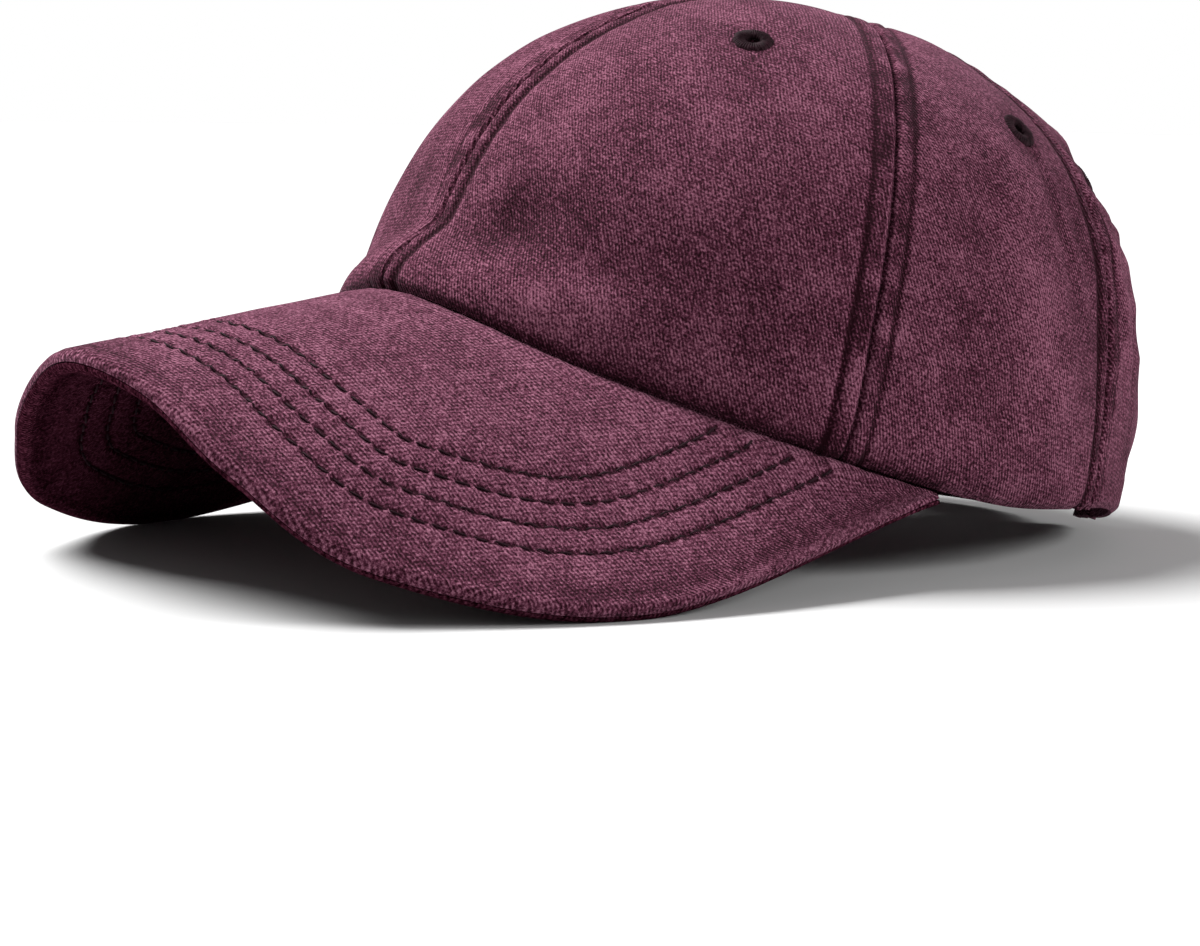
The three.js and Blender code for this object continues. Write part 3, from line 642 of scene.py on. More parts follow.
def antique(name, colours):
    n = Nodes(name)
    place = n.add("ShaderNodeTexCoord").outputs["Object"]
    stain = n.noise(place, 420.0, 4.0, 0.65)
    scratch = n.noise(place, 2400.0, 3.0, 0.7)
    value = n.math("ADD", n.weighted((stain, 1.2), (scratch, 0.6)), 0.5)
    colour = n.ramp(value, *zip((0.15, 0.5, 0.9), colours))
    rough = n.math("ADD", n.weighted((stain, 0.4), (scratch, 0.2)), 0.4)
    pits = n.bump(n.weighted((stain, 1.0), (scratch, 0.5)), 0.25, 0.0001)
    return n.finish(colour, pits, rough, Metallic=1.0)


# Dark, middle and light of each material
PLUM = [(0.013, 0.0018, 0.0044), (0.07, 0.0165, 0.033), (0.225, 0.084, 0.128)]
PEAK_PLUM = [(0.016, 0.0024, 0.0056), (0.084, 0.021, 0.041), (0.25, 0.1, 0.148)]
# The under peak's plum is darker than the top's: painted shade that stands for the shade beneath the peak
SHADED_UNDER_PLUM = [(0.005, 0.0007, 0.0016), (0.034, 0.0066, 0.0135), (0.1, 0.026, 0.046)]
FACING_PLUM = [(0.006, 0.001, 0.0022), (0.042, 0.0095, 0.019), (0.165, 0.062, 0.092)]
THREAD_PLUM = [(0.005, 0.001, 0.0022), (0.026, 0.0066, 0.0125)]
OLD_BRASS = [(0.012, 0.009, 0.005), (0.072, 0.053, 0.027), (0.23, 0.175, 0.09)]

plum = twill("washed_plum_twill", PLUM)
plum_slant = twill("washed_plum_twill_peak", PEAK_PLUM, rib_turn=23)
# Twill under the peak, darkened as painted shade
plum_under_painted_shade = twill("plum_twill_under_peak_painted_shade", SHADED_UNDER_PLUM, rib_turn=25, contrast=0.7, sheen=0.0, shine=0.0)
plum_facing = twill("washed_plum_twill_facing", FACING_PLUM, rib_turn=60)
plum_thread = thread("dark_plum_thread", THREAD_PLUM)
brass = antique("antique_brass_metal", OLD_BRASS)


# Stitches

# Along a stitch, from end to end: place, thickness and lift, as shares of its half length and radius
STITCH_ROWS = np.array([
    (-1, 0.35, -0.9),
    (-0.72, 0.85, 0.1),
    (0, 1, 0.55),
    (0.72, 0.85, 0.1),
    (1, 0.35, -0.9),
])
STITCH_SIDES = 6


def stitch_run(path, normals, pitch=STITCH_PITCH, length=STITCH_LENGTH, start=0.0):
    """Short lengths of thread along a path: points and faces of all of them."""
    steps = np.linalg.norm(np.diff(path, axis=0), axis=1)
    reach = np.concatenate([[0], np.cumsum(steps)])
    count = int((reach[-1] - start) // pitch)
    if count < 1:
        return np.zeros((0, 3)), []
    stations, thick, lift = STITCH_ROWS.T
    at = (start + pitch * (np.arange(count) + 0.5))[:, None] + stations * length / 2
    centre = np.stack([np.interp(at, reach, path[:, k]) for k in range(3)], -1)
    up = unit(np.stack([np.interp(at, reach, normals[:, k]) for k in range(3)], -1))
    ahead = unit(np.gradient(centre, axis=1))
    aside = unit(np.cross(ahead, up))
    centre = centre + up * (STITCH_RADIUS * lift)[:, None]
    turn = np.arange(STITCH_SIDES) / STITCH_SIDES * 2 * np.pi
    ring = np.cos(turn)[:, None] * aside[:, :, None] * 1.15 + np.sin(turn)[:, None] * up[:, :, None] * 0.85
    points = centre[:, :, None] + ring * (STITCH_RADIUS * thick)[:, None, None]
    rings = len(stations)
    size = rings * STITCH_SIDES
    base = np.arange(count)[:, None] * size
    walls = (tube_faces(rings, STITCH_SIDES)[None] + base[..., None]).reshape(-1, 4)
    low = np.arange(STITCH_SIDES)[::-1] + base
    high = np.arange(size - STITCH_SIDES, size) + base
    return points.reshape(-1, 3), [*walls.tolist(), *low.tolist(), *high.tolist()]


def crown_stitches(azimuth, rise, depth, **settings):
    return stitch_run(crown_face(azimuth, rise, depth), crown_normal(azimuth, rise), **settings)


def back_stitches(across, height, depth):
    azimuth = back_azimuth(across, height)
    return crown_stitches(azimuth, rise_of(azimuth, height), depth,
                          pitch=SMALL_STITCH_PITCH, length=SMALL_STITCH_LENGTH)


def stitch_piece(name, runs):
    points, faces, base = [], [], 0
    for run_points, run_faces in runs:
        points.append(run_points)
        faces += [[index + base for index in face] for face in run_faces]
        base += len(run_points)
    mesh_piece(name, np.concatenate(points), faces, plum_thread, sharp=80)


# Crown panels

SIDE_WORDS = {1: "left", -1: "right"}
PANEL_STEP = 1.25
PANEL_ROWS = 132
HEM_LEVELS = [0.0025, 0.0125, 0.02]
SEAM_STEPS = 700
PANEL_OVERLAP = 0.03


def stitch_distance(radius, span, widest=SEAM_STITCH):
    """How far the seam's stitching lies from the seam, which closes in towards the top."""
    return np.minimum(widest, 0.43 * radius * span)


def seam_detail(away, s, offset, seed):
    """Relief and tone beside a seam: a valley, a raised allowance, a stitched groove and puckers. The tone
    paints shade into the valley and the groove, highlight just beside them, and shade and highlight that
    follow the puckers; the allowance is a little darker.
    """
    ridge = smoothstep(0.2, 1.3, away) * (1 - smoothstep(offset - 0.1, offset + 1.2, away))
    along = np.stack([s, 0.35 * away, 0 * s + 9.1 * seed], -1)
    pucker = 0.7 * noise(along, 4.4, 31) + 0.5 * noise(along, 2.3, 32)
    outside = smoothstep(offset + 0.2, offset + 1.5, away) * bell(away - offset, 4.0)
    middle = bell(away - offset / 2, offset * 0.4)
    valley, valley_tone = lines(away, SEAM_LINES)
    groove, groove_tone = lines(away - offset, SEWN_LINES)
    relief = valley + groove + 0.5 * ridge + 0.45 * pucker * (middle + 0.5 * outside)
    # Painted shade in the valley and the groove, painted highlight beside them, and painted shade and
    # highlight following the puckers
    tone = valley_tone + groove_tone - 0.22 * ridge + pucker * (0.8 * middle + 0.3 * outside)
    return relief, tone


KEEP_SCALE = 50


def arch_keep(across, height):
    """Positive outside the arch, about the distance from its outline in millimetres."""
    up = np.clip(height, 0, None) / ARCH_HEIGHT
    return KEEP_SCALE * (rounded(np.abs(across) / ARCH_HALF, up, ARCH_POWER) - 1)


def keyhole_keep(across, height):
    share = np.clip((height - KEYHOLE_FOOT) / (KEYHOLE_WIDEST - KEYHOLE_FOOT), 0, 1)
    half = lerp(KEYHOLE_FOOT_HALF, KEYHOLE_HALF, np.sin(share * np.pi / 2))
    side = np.abs(across) - half
    up = np.clip(height - KEYHOLE_WIDEST, 0, None) / (KEYHOLE_TOP - KEYHOLE_WIDEST)
    above = KEYHOLE_HALF * (rounded(np.abs(across) / KEYHOLE_HALF, up, KEYHOLE_POWER) - 1)
    keep = np.where(height > KEYHOLE_WIDEST, above, side)
    return np.where(height < ARCH_HEIGHT - 2 * PIECE_GAP, KEEP_SCALE, keep)


def eyelet_spot(azimuth, height):
    rise = rise_of(azimuth, np.array(height * CROWN_HEIGHT))
    return crown_face(azimuth, rise, CLOTH_WALL / 2), crown_normal(azimuth, rise)


def edge_columns(span, middle_step, fine_step=0.36, fine_reach=7.0):
    """Shares across a panel, close together beside its seams."""
    width = span * CROWN_RADIUS
    fine = np.arange(0, fine_reach, fine_step) / width
    count = max(4, int((width - 2 * fine_reach) / middle_step))
    middle = np.linspace(fine_reach / width, 1 - fine_reach / width, count)
    return np.concatenate([fine, middle, 1 - fine[::-1]])


def seam_azimuth(seam, rise):
    """A seam's azimuth: the front one drifts to the wearer's right between its ends."""
    return seam - FRONT_SEAM_DRIFT * (seam == 0) * np.sin(np.pi * np.clip(rise, 0, 1)) ** 0.8


def top_rise(azimuth):
    low = np.full(np.shape(azimuth), 0.9)
    high = np.ones(np.shape(azimuth))
    for _ in range(HALVINGS):
        middle = (low + high) / 2
        point = crown_point(azimuth, middle)
        wide = np.hypot(point[..., 0], point[..., 1] - TOP_SHIFT) > CROWN_HOLE
        low = np.where(wide, middle, low)
        high = np.where(wide, high, middle)
    return low


def panel_piece(word, side, first, last, hole):
    start, end = np.radians((first, last) if side > 0 else (-last, -first))
    span = end - start
    shares = edge_columns(span, PANEL_STEP)
    levels = np.sort(np.concatenate([np.linspace(0, 1, PANEL_ROWS + 1), HEM_LEVELS]))
    u, v = np.meshgrid(shares, levels)
    flat = np.stack([u.ravel(), v.ravel()], -1)
    triangles = grid_triangles(len(shares) - 1, len(levels) - 1)

    def place(flat):
        nominal = start + span * flat[:, 0]
        rise = top_rise(nominal) * flat[:, 1]
        point = crown_point(nominal, rise)
        radius = np.hypot(point[:, 0], point[:, 1] - TOP_SHIFT)
        overlap = PANEL_OVERLAP / radius
        azimuth = lerp(seam_azimuth(start, rise) - overlap, seam_azimuth(end, rise) + overlap, flat[:, 0])
        return azimuth, rise, radius, crown_point(azimuth, rise)

    point = place(flat)[3]
    spot = eyelet_spot(np.array(side * math.radians(hole[0])), hole[1])[0]
    keep = np.linalg.norm(point - spot, axis=1) - EYELET_HOLE - 1.0
    if word == "back":
        keep = np.minimum(keep, arch_keep(point[:, 0], point[:, 2]))
        keep = np.minimum(keep, keyhole_keep(point[:, 0], point[:, 2]))
    flat, triangles = cut_away(flat, triangles, keep)
    azimuth, rise, radius, point = place(flat)
    normal = crown_normal(azimuth, rise)
    s = rise * WALL_LENGTH
    plain = crown_relief(azimuth, rise)
    # Tone that follows the folds and creases, lighter on their ridges and darker in their valleys: partly
    # wear, partly painted highlight and painted shade
    wear_and_painted_shading = 0.5 * back_creases(point) + 0.22 * fold_relief(azimuth, point[:, 2])
    details = [(0, 0.16 * noise(point, 9, 8) + wear_and_painted_shading)]
    for seam, sign in ((start, 1), (end, -1)):
        away = np.abs(azimuth - seam_azimuth(seam, rise)) * radius
        seed = 1 + abs(round(math.degrees(seam))) % 17 + (2 if sign > 0 else 0)
        wide = word == "front" and (seam != 0 or side < 0)
        offset = stitch_distance(radius, span, SEAM_STITCH_WIDE if wide else SEAM_STITCH)
        details.append(seam_detail(away, s, offset, seed))
    # At the crown's foot: painted shade where it meets the peak, and elsewhere a painted highlight along
    # the hem's edge
    hem = 0.25 * smoothstep(0.5, 2, s) * (1 - smoothstep(7, 9, s)) - 0.9 * bell(s, 1.0)
    over_peak = np.abs(azimuth) < PEAK_CORNER
    details.append((hem, np.where(over_peak, -0.7 * bell(s, 2.4), 0.25 * bell(s - 1.2, 1.0))))
    if word == "back":
        round_arch = np.arctan2(point[:, 2], np.abs(point[:, 0])) * ARCH_RADIUS
        for distance, turn in (
            (arch_keep(point[:, 0], point[:, 2]), round_arch),
            (keyhole_keep(point[:, 0], point[:, 2]), point[:, 2]),
        ):
            # The gathers by the openings get painted shade and highlight that follow them, and the cut edge
            # gets painted shade
            gathers = ripple(turn, 7.3, 4 + side) * bell(distance, 7.0)
            details += [(0.32 * gathers, 0.2 * gathers), lines(distance, CUT_LINES)]
    # Painted shade in the dip round each eyelet
    details.append(lines(np.linalg.norm(point - spot, axis=1), EYELET_LINES))
    relief = plain + sum(detail for detail, tone in details)
    tone = sum(tone for detail, tone in details)
    outer = point + normal * relief[:, None]
    inner = point + normal * (plain - CLOTH_WALL - 0.2)[:, None]
    grain = np.stack([(azimuth - (start + end) / 2) * radius, s], -1)
    grain[:, 0] += 400 * (abs(first) + side)
    label = SIDE_WORDS[side]
    sheet_piece(f"{word}_panel_{label}", f"panel_{word}_{label}", outer, inner, triangles, plum,
                grain, tone)


def seam_stitches():
    runs = []
    spans = np.diff(SEAMS)
    for k, seam in enumerate(SEAMS):
        for side in ((1, -1) if 0 < seam < 180 else (1,)):
            for sign, span in ((-side, spans[max(k - 1, 0)]), (side, spans[min(k, len(spans) - 1)])):
                widest = SEAM_STITCH_WIDE if k < 2 and sign == -side else SEAM_STITCH
                seam_at = side * math.radians(seam)
                rise = np.linspace(0.006, 0.99, SEAM_STEPS)
                point = crown_point(np.full(SEAM_STEPS, seam_at), rise)
                radius = np.hypot(point[:, 0], point[:, 1] - TOP_SHIFT)
                away = stitch_distance(radius, math.radians(span), widest)
                azimuth = seam_azimuth(seam_at, rise) + sign * away / radius
                keep = radius > BUTTON_RADIUS + PIECE_GAP
                point = crown_point(azimuth, rise)
                if seam == 180:
                    keep &= keyhole_keep(point[:, 0], point[:, 2]) > 0.5
                    keep &= point[:, 2] > KEYHOLE_WIDEST
                first = 1.0 if sign > 0 else 0.2
                runs.append(crown_stitches(azimuth[keep], rise[keep], STITCH_DEPTH, start=first))
    stitch_piece("crown_seam_stitches", runs)


for panel_side in SIDE_WORDS:
    for panel_index, (panel_word, *panel_hole) in enumerate(EYELETS):
        panel_piece(panel_word, panel_side, SEAMS[panel_index], SEAMS[panel_index + 1], panel_hole)
seam_stitches()


# Eyelets, sewn round with thread

EYELET_COLUMNS = 168
EYELET_SECTIONS = 14
EYELET_THREADS = 42


def eyelet_piece(word, side, azimuth, height):
    spot, up = eyelet_spot(np.array(side * math.radians(azimuth)), height)
    aside = unit(np.cross(up, [0.0, 0.0, 1.0]))
    ahead = np.cross(aside, up)
    i, j = np.meshgrid(np.arange(EYELET_COLUMNS), np.arange(EYELET_SECTIONS))
    around = i * 2 * np.pi / EYELET_COLUMNS
    section = j * 2 * np.pi / EYELET_SECTIONS
    lobe = np.abs(np.sin(around * EYELET_THREADS / 2)) ** 0.6
    uneven = 0.16 * hashed(i // (EYELET_COLUMNS // EYELET_THREADS), j * 0, j * 0, 7 + side)
    middle = (EYELET_OUTER + EYELET_HOLE) / 2
    half = (EYELET_OUTER - EYELET_HOLE) / 2 - 0.1 + uneven
    reach = middle + half * np.cos(section)
    thick = 1.05 * np.sin(section) * (0.82 + 0.18 * lobe) + 0.12 * lobe
    ring = np.cos(around)[..., None] * aside + np.sin(around)[..., None] * ahead
    points = spot + reach[..., None] * ring + (thick + 0.25)[..., None] * up
    faces = tube_faces(EYELET_SECTIONS, EYELET_COLUMNS, closed=True)
    label = SIDE_WORDS[side]
    name = f"{word}_{label}"
    mesh_piece(f"sewn_eyelet_{name}", points, faces, plum_thread, [f"eyelet_{name}"])


for eyelet_side in SIDE_WORDS:
    for eyelet_word, eyelet_azimuth, eyelet_height in EYELETS:
        eyelet_piece(eyelet_word, eyelet_side, eyelet_azimuth, eyelet_height)


# Peak

def rim_point(azimuth, inward):
    point = crown_point(azimuth, np.zeros(np.shape(azimuth)))
    reach = np.hypot(point[..., 0], point[..., 1])
    share = (reach - inward) / reach
    return np.stack([point[..., 0] * share, point[..., 1] * share, point[..., 2]], -1)


def peak_edge_points():
    corner = rim_point(np.array(PEAK_CORNER), 0)
    tip = rim_point(np.array(0.0), 0)[1] - PEAK_REACH
    half = [
        np.array([across * PEAK_HALF_WIDTH, lerp(corner[1], tip, forward), corner[2] - down * PEAK_CURL])
        for across, forward, down in PEAK_ROWS
    ]
    end = rim_point(np.array(PEAK_CORNER), -PEAK_CORNER_WIDTH)
    half.append(end - [0, 0, PIECE_GAP + PEAK_CORNER_THICKNESS / 2])
    return np.array([p * [-1, 1, 1] for p in half[:0:-1]] + half)


EDGE = peak_edge_points()


def edge_point(turn):
    """A smooth curve through the edge's points, with turn from -1 to 1."""
    count = len(EDGE)
    padded = np.concatenate([[2 * EDGE[0] - EDGE[1]], EDGE, [2 * EDGE[-1] - EDGE[-2]]])
    at = np.clip((np.asarray(turn) + 1) / 2, 0, 1) * (count - 1)
    i = np.minimum(at.astype(int), count - 2)
    t = (at - i)[..., None]
    p0, p1, p2, p3 = padded[i], padded[i + 1], padded[i + 2], padded[i + 3]
    v0, v1 = (p2 - p0) * 0.5, (p3 - p1) * 0.5
    return (2 * p1 - 2 * p2 + v0 + v1) * t ** 3 + (-3 * p1 + 3 * p2 - 2 * v0 - v1) * t ** 2 + v0 * t + p1


def peak_full(turn):
    share = np.clip((np.abs(turn) - PEAK_TAPER_START) / (1 - PEAK_TAPER_START), 0, 1)
    return lerp(PEAK_THICKNESS, PEAK_CORNER_THICKNESS, share) / 2


def peak_ends(turn):
    sunk = np.stack([0 * turn, 0 * turn, -PIECE_GAP - peak_full(turn)], -1)
    return rim_point(PEAK_CORNER * turn, 0) + sunk, edge_point(turn)


LIP_ROWS = 9
TONGUE_ROWS = 3
EDGE_STEPS = 700


def peak_grid(columns, rows):
    """The peak's middle surface: places along the edge, points, normals, half-thickness, distance
    from the edge, and the distance by which the stitched rows are laid, nearer it at the sides.
    """
    turn = np.linspace(-1, 1, columns + 1)
    shift = PEAK_STITCH_SHIFT * smoothstep(0.25, 0.46, np.abs(turn))
    rim, end = peak_ends(turn)
    length = np.linalg.norm(rim - end, axis=1)
    lip = np.minimum(PEAK_LIP, length / 2)
    full = peak_full(turn)
    surface, half = [], []
    for k in range(TONGUE_ROWS):
        inward = PEAK_TONGUE * (1 - k / TONGUE_ROWS)
        point = rim_point(PEAK_CORNER * turn, inward)
        point[:, 2] -= PIECE_GAP + full
        surface.append(point)
        half.append(full)
    for k in range(rows + 1):
        back = lerp(length, lip, k / rows)
        surface.append(lerp(end, rim, (back / length)[:, None]))
        half.append(full)
    for k in range(1, LIP_ROWS + 1):
        bend = k / LIP_ROWS * math.pi / 2
        back = lip * (1 - math.sin(bend))
        surface.append(lerp(end, rim, (back / length)[:, None]))
        half.append(lerp(PIECE_GAP / 2 + PEAK_LAND, full, math.cos(bend)))
    surface, half = np.array(surface), np.array(half)
    around = np.gradient(surface, axis=1)
    inward = np.broadcast_to((rim - end)[None], surface.shape)
    normal = unit(np.cross(around, inward))
    blend = np.clip((np.arange(len(surface)) - TONGUE_ROWS) / 6, 0, 1)[:, None, None]
    normal = unit(lerp(np.array([0, 0, 1.0]), normal, blend))
    edge = edge_point(np.linspace(-1, 1, EDGE_STEPS))
    reach = np.empty(surface.shape[:2])
    for k in range(len(surface)):
        reach[k] = np.sqrt(((surface[k][:, None] - edge[None]) ** 2).sum(-1)).min(1)
    return turn, surface, normal, half, reach, reach + shift


PEAK_TOP = peak_grid(columns=300, rows=128)
PEAK_UNDER = peak_grid(columns=200, rows=84)


def row_path(grid, wall, target):
    """Points and normals along a stitched row, from one side of the rim to the other."""
    surface, normal, sewn = grid[1], grid[2], grid[5]
    face = np.concatenate([surface + normal * wall[..., None], normal], -1)[TONGUE_ROWS:]
    away = sewn[TONGUE_ROWS:] - target
    found = []
    for axis in (0, 1):
        near = np.moveaxis(away, axis, 0)
        place = np.moveaxis(face, axis, 0)
        share = near[:-1] / np.where(near[:-1] == near[1:], 1, near[:-1] - near[1:])
        found.append(lerp(place[:-1], place[1:], share[..., None])[near[:-1] * near[1:] < 0])
    found = np.concatenate(found)
    bearing = np.arctan2(found[:, 1] - ROW_CENTRE, found[:, 0])
    bearing = np.where(bearing > np.pi / 2, bearing - 2 * np.pi, bearing)
    order = np.argsort(bearing)
    steps = np.linspace(bearing[order[0]], bearing[order[-1]], 600)
    path = np.stack([np.interp(steps, bearing[order], found[order, k]) for k in range(6)], -1)
    return path[:, :3], unit(path[:, 3:])


def row_middles(path, start):
    steps = np.concatenate([[0], np.cumsum(np.linalg.norm(np.diff(path, axis=0), axis=1))])
    at = start + PEAK_STITCH_PITCH * (np.arange(int((steps[-1] - start) // PEAK_STITCH_PITCH)) + 0.5)
    return np.stack([np.interp(at, steps, path[:, k]) for k in range(3)], -1)


def peak_relief(grid):
    """Relief and tone of the peak: sewn grooves, the cloth drawn up between stitches, the rolled edge. The
    tone paints shade into the grooves and highlight onto the drawn-up cloth, lightens the rolled edge as
    wear and painted highlight, and paints shade behind the roll and over a band near the edge.
    """
    turn, surface, reach, sewn = grid[0], grid[1], grid[4], grid[5]
    s = np.broadcast_to(turn * PEAK_EDGE_LENGTH, reach.shape)
    relief = 0.3 * noise(surface, 26, 21) + 0.12 * noise(surface, 9, 14) + 0.05 * ripple(s, 9.0, 6)
    tone = 0.1 * noise(surface, 9, 12)
    for k in range(PEAK_STITCH_ROWS):
        target = PEAK_STITCH_FIRST + PEAK_STITCH_SPACING * k
        away = sewn - target
        near = np.abs(away) < 4
        middles = row_middles(row_path(grid, 0 * reach, target)[0], PEAK_STITCH_STAGGER * k)
        gap = np.full(reach.shape, PEAK_STITCH_PITCH)
        gap[near] = np.sqrt(((surface[near][:, None] - middles[None]) ** 2).sum(-1)).min(1)
        along = np.sqrt(np.clip(gap ** 2 - away ** 2, 0, None)) / (PEAK_STITCH_PITCH / 2)
        tied = smoothstep(0.62, 0.98, along)
        relief = relief - 0.62 * bell(away, 0.8) * (1 - 0.95 * tied) + 0.14 * bell(away, 2.2) * tied
        relief = relief + 0.14 * bell(np.abs(away) - 1.7, 1.0) * (2 * tied - 1)
        # Painted shade in the groove between stitches, painted highlight on the cloth drawn up at them
        tone = tone - 1.2 * bell(away, 0.6) * (1 - tied) + 0.42 * bell(away, 1.3) * tied
    # The rolled edge is lighter, partly wear and partly painted highlight; behind it, painted shade in a
    # groove and over the band within 15 mm of the edge
    wear_and_painted_shading = 0.3 * bell(reach - 1.0, 1.3) * (0.6 + 0.4 * ripple(s, 6.1, 9))
    tone = tone + wear_and_painted_shading - 0.25 * bell(reach - 4.2, 1.6) - 0.2 * (1 - smoothstep(4, 15, reach))
    return relief * smoothstep(0.0, 2.5, reach), tone


def across_cloth(surface):
    """Distance across the curled peak from its middle, measured along the cloth."""
    step = np.hypot(np.diff(surface[..., 0], axis=1), np.diff(surface[..., 2], axis=1))
    reach = np.concatenate([np.zeros((len(step), 1)), np.cumsum(step, axis=1)], axis=1)
    return reach - reach[:, reach.shape[1] // 2][:, None]


def peak_piece(upper):
    grid = PEAK_TOP if upper else PEAK_UNDER
    surface, normal, half, reach = grid[1:5]
    relief, tone = peak_relief(grid)
    sign = 1 if upper else -1
    outer = surface + normal * (sign * (half + relief))[..., None]
    inner = surface + normal * (sign * PIECE_GAP / 2)
    triangles = grid_triangles(reach.shape[1] - 1, reach.shape[0] - 1)
    if upper:
        triangles = triangles[:, ::-1]
    grain = np.stack([across_cloth(surface), surface[..., 1]], -1)
    name, node = ("peak_top_cover", "peak_upper") if upper else ("peak_under_cover", "peak_lower")
    material, slot = (plum_slant, "plum_cloth") if upper else (plum_under_painted_shade, "under_cloth")
    sheet_piece(name, node, outer, inner, triangles, material, grain, tone)
    return grid, sign * (half + relief + PEAK_STITCH_RISE), sign


def peak_stitches(name, grid, wall, sign):
    runs = []
    for k in range(PEAK_STITCH_ROWS):
        path, ups = row_path(grid, wall, PEAK_STITCH_FIRST + PEAK_STITCH_SPACING * k)
        first = PEAK_STITCH_STAGGER * k
        runs.append(stitch_run(path, ups * sign, PEAK_STITCH_PITCH, PEAK_STITCH_LENGTH, first))
    stitch_piece(name, runs)


peak_top_sewing = peak_piece(True)
peak_under_sewing = peak_piece(False)
peak_stitches("peak_top_stitches", *peak_top_sewing)
peak_stitches("peak_under_stitches", *peak_under_sewing)


# Facings of the arch and the keyhole

def arch_outline(place, half, top, power):
    side = np.where(place < 0.5, 1, -1)
    share = 1 - np.abs(2 * place - 1)
    turn = np.clip((share - ARCH_FOOT_SHARE) / (1 - ARCH_FOOT_SHARE), 0, 1) * np.pi / 2
    foot = share < ARCH_FOOT_SHARE
    across = np.where(foot, half, half * np.clip(np.cos(turn), 0, 1) ** (2 / power))
    height = np.where(foot, lerp(ARCH_FOOT, 0, share / ARCH_FOOT_SHARE), top * np.sin(turn) ** (2 / power))
    return side * across, height


def keyhole_outline(place, widest, top, foot_half, half, power, inset):
    side = np.where(place < 0.5, 1, -1)
    share = 1 - np.abs(2 * place - 1)
    low = np.clip(share * 2, 0, 1)
    turn = np.clip(share - 0.5, 0, 0.5) * np.pi
    lower = share < 0.5
    above = lerp(widest, top, np.sin(turn) ** (2 / power))
    height = np.where(lower, lerp(KEYHOLE_FOOT, widest, low), above)
    narrowing = half * np.clip(np.cos(turn), 0, 1) ** (2 / power)
    wide = np.where(lower, lerp(foot_half, half, np.sin(low * np.pi / 2)), narrowing)
    return side * np.maximum(wide - inset, PIECE_GAP / 2), np.maximum(height - inset, KEYHOLE_FOOT)


def even_places(outline, count):
    """Places along an outline at even distances."""
    fine = np.linspace(0, 1, 4001)
    across, height = outline(fine)
    reach = np.concatenate([[0], np.cumsum(np.hypot(np.diff(across), np.diff(height)))])
    return np.interp(np.linspace(0, reach[-1], count + 1), reach, fine), reach[-1]


def facing_piece(name, node, outline, inner_outline, shape, columns, rows):
    """A facing between two outlines. shape(s, from_outer, width, place) gives its relief and tone."""
    place, length = even_places(outline, columns)
    v = np.linspace(0, 1, rows + 1)[:, None]
    v = lerp(v, 0.5 - 0.5 * np.cos(np.pi * v), 0.6)
    outer = np.array(outline(place))
    inner = np.array(inner_outline(place))
    across, height = lerp(inner[:, None], outer[:, None], v)
    width = np.hypot(*(outer - inner))[None]
    from_outer = (1 - v) * width
    s = np.broadcast_to(np.linspace(0, length, columns + 1), across.shape)
    relief, tone = shape(s, from_outer, width, place[None])
    front = back_face(across, height, FACING_RECESS - relief)
    back = back_face(across, height, np.full(across.shape, FACING_RECESS + FACING_WALL))
    grain = np.stack([s, from_outer], -1) + FACING_GRAIN
    sheet_piece(name, node, front, back, grid_triangles(columns, rows), plum_facing,
                grain, np.broadcast_to(tone, across.shape))
    return facing_stitches(across, height, from_outer)


def facing_roll(from_outer, s, seed):
    """The rolled outer edge of a facing, with its stitched groove inside it. The tone paints shade into the
    groove and along the tucked edge, and highlight onto the roll.
    """
    roll = np.sqrt(np.clip(1 - ((from_outer - 1.05) / 1.1) ** 2, 0, 1))
    relief, tone = lines(from_outer, FACING_LINES)
    relief = relief + 1.15 * roll * (1 + 0.12 * ripple(s, 3.4, seed))
    # Painted highlight on the roll
    return relief, tone + 0.5 * roll * (0.75 + 0.25 * ripple(s, 3.1, seed + 1))


def arch_shape(s, from_outer, width, place):
    relief, tone = facing_roll(from_outer, s, 2)
    lip, lip_tone = lines(width - from_outer, ARCH_LIP_LINES)
    shoulder = bell(1 - np.abs(2 * place - 1) - 0.55, 0.2)
    inside = smoothstep(2.6, 4.2, from_outer)
    gather = ripple(s + 0.5 * from_outer, 7.4, 3) * 0.6 + ripple(s - 0.3 * from_outer, 4.3, 8) * 0.4
    # Tone: painted highlight on the lip and painted shade below it, painted shade and highlight following
    # the gathers, and the inner part a little darker
    relief = relief + lip + inside * gather * (0.3 + 0.5 * shoulder)
    return relief, tone + lip_tone + inside * (gather * (0.34 + 0.3 * shoulder) - 0.12)


def keyhole_shape(s, from_outer, width, place):
    relief, tone = facing_roll(from_outer, s, 5)
    lip, lip_tone = lines(width - from_outer, KEYHOLE_LIP_LINES)
    top = smoothstep(0.62, 1.0, 1 - np.abs(2 * place - 1))
    inside = smoothstep(2.6, 4.2, from_outer)
    gather = ripple(s + 0.25 * from_outer, 6.2, 4) * 0.65 + ripple(s, 3.7, 6) * 0.35
    # Tone: painted highlight on the lip, painted shade and highlight following the gathers, painted shade
    # down the steep top, and the inner part a little darker
    relief = relief + lip + inside * (0.42 * gather - 1.2 * top * np.clip(from_outer / width, 0, 1))
    return relief, tone + lip_tone + inside * (0.5 * gather - 0.9 * top - 0.15)


def arch_outer(place):
    return arch_outline(place, ARCH_HALF - PIECE_GAP, ARCH_HEIGHT - PIECE_GAP, ARCH_POWER)


def arch_inner(place):
    return arch_outline(place, ARCH_INNER_HALF, ARCH_INNER_HEIGHT, ARCH_INNER_POWER)


def keyhole_outer(place):
    return keyhole_outline(place, KEYHOLE_WIDEST, KEYHOLE_TOP, KEYHOLE_FOOT_HALF, KEYHOLE_HALF,
                           KEYHOLE_POWER, PIECE_GAP)


def keyhole_inner(place):
    return keyhole_outline(place, HOLE_WIDEST, HOLE_TOP, PIECE_GAP / 2, HOLE_HALF, HOLE_POWER, 0)


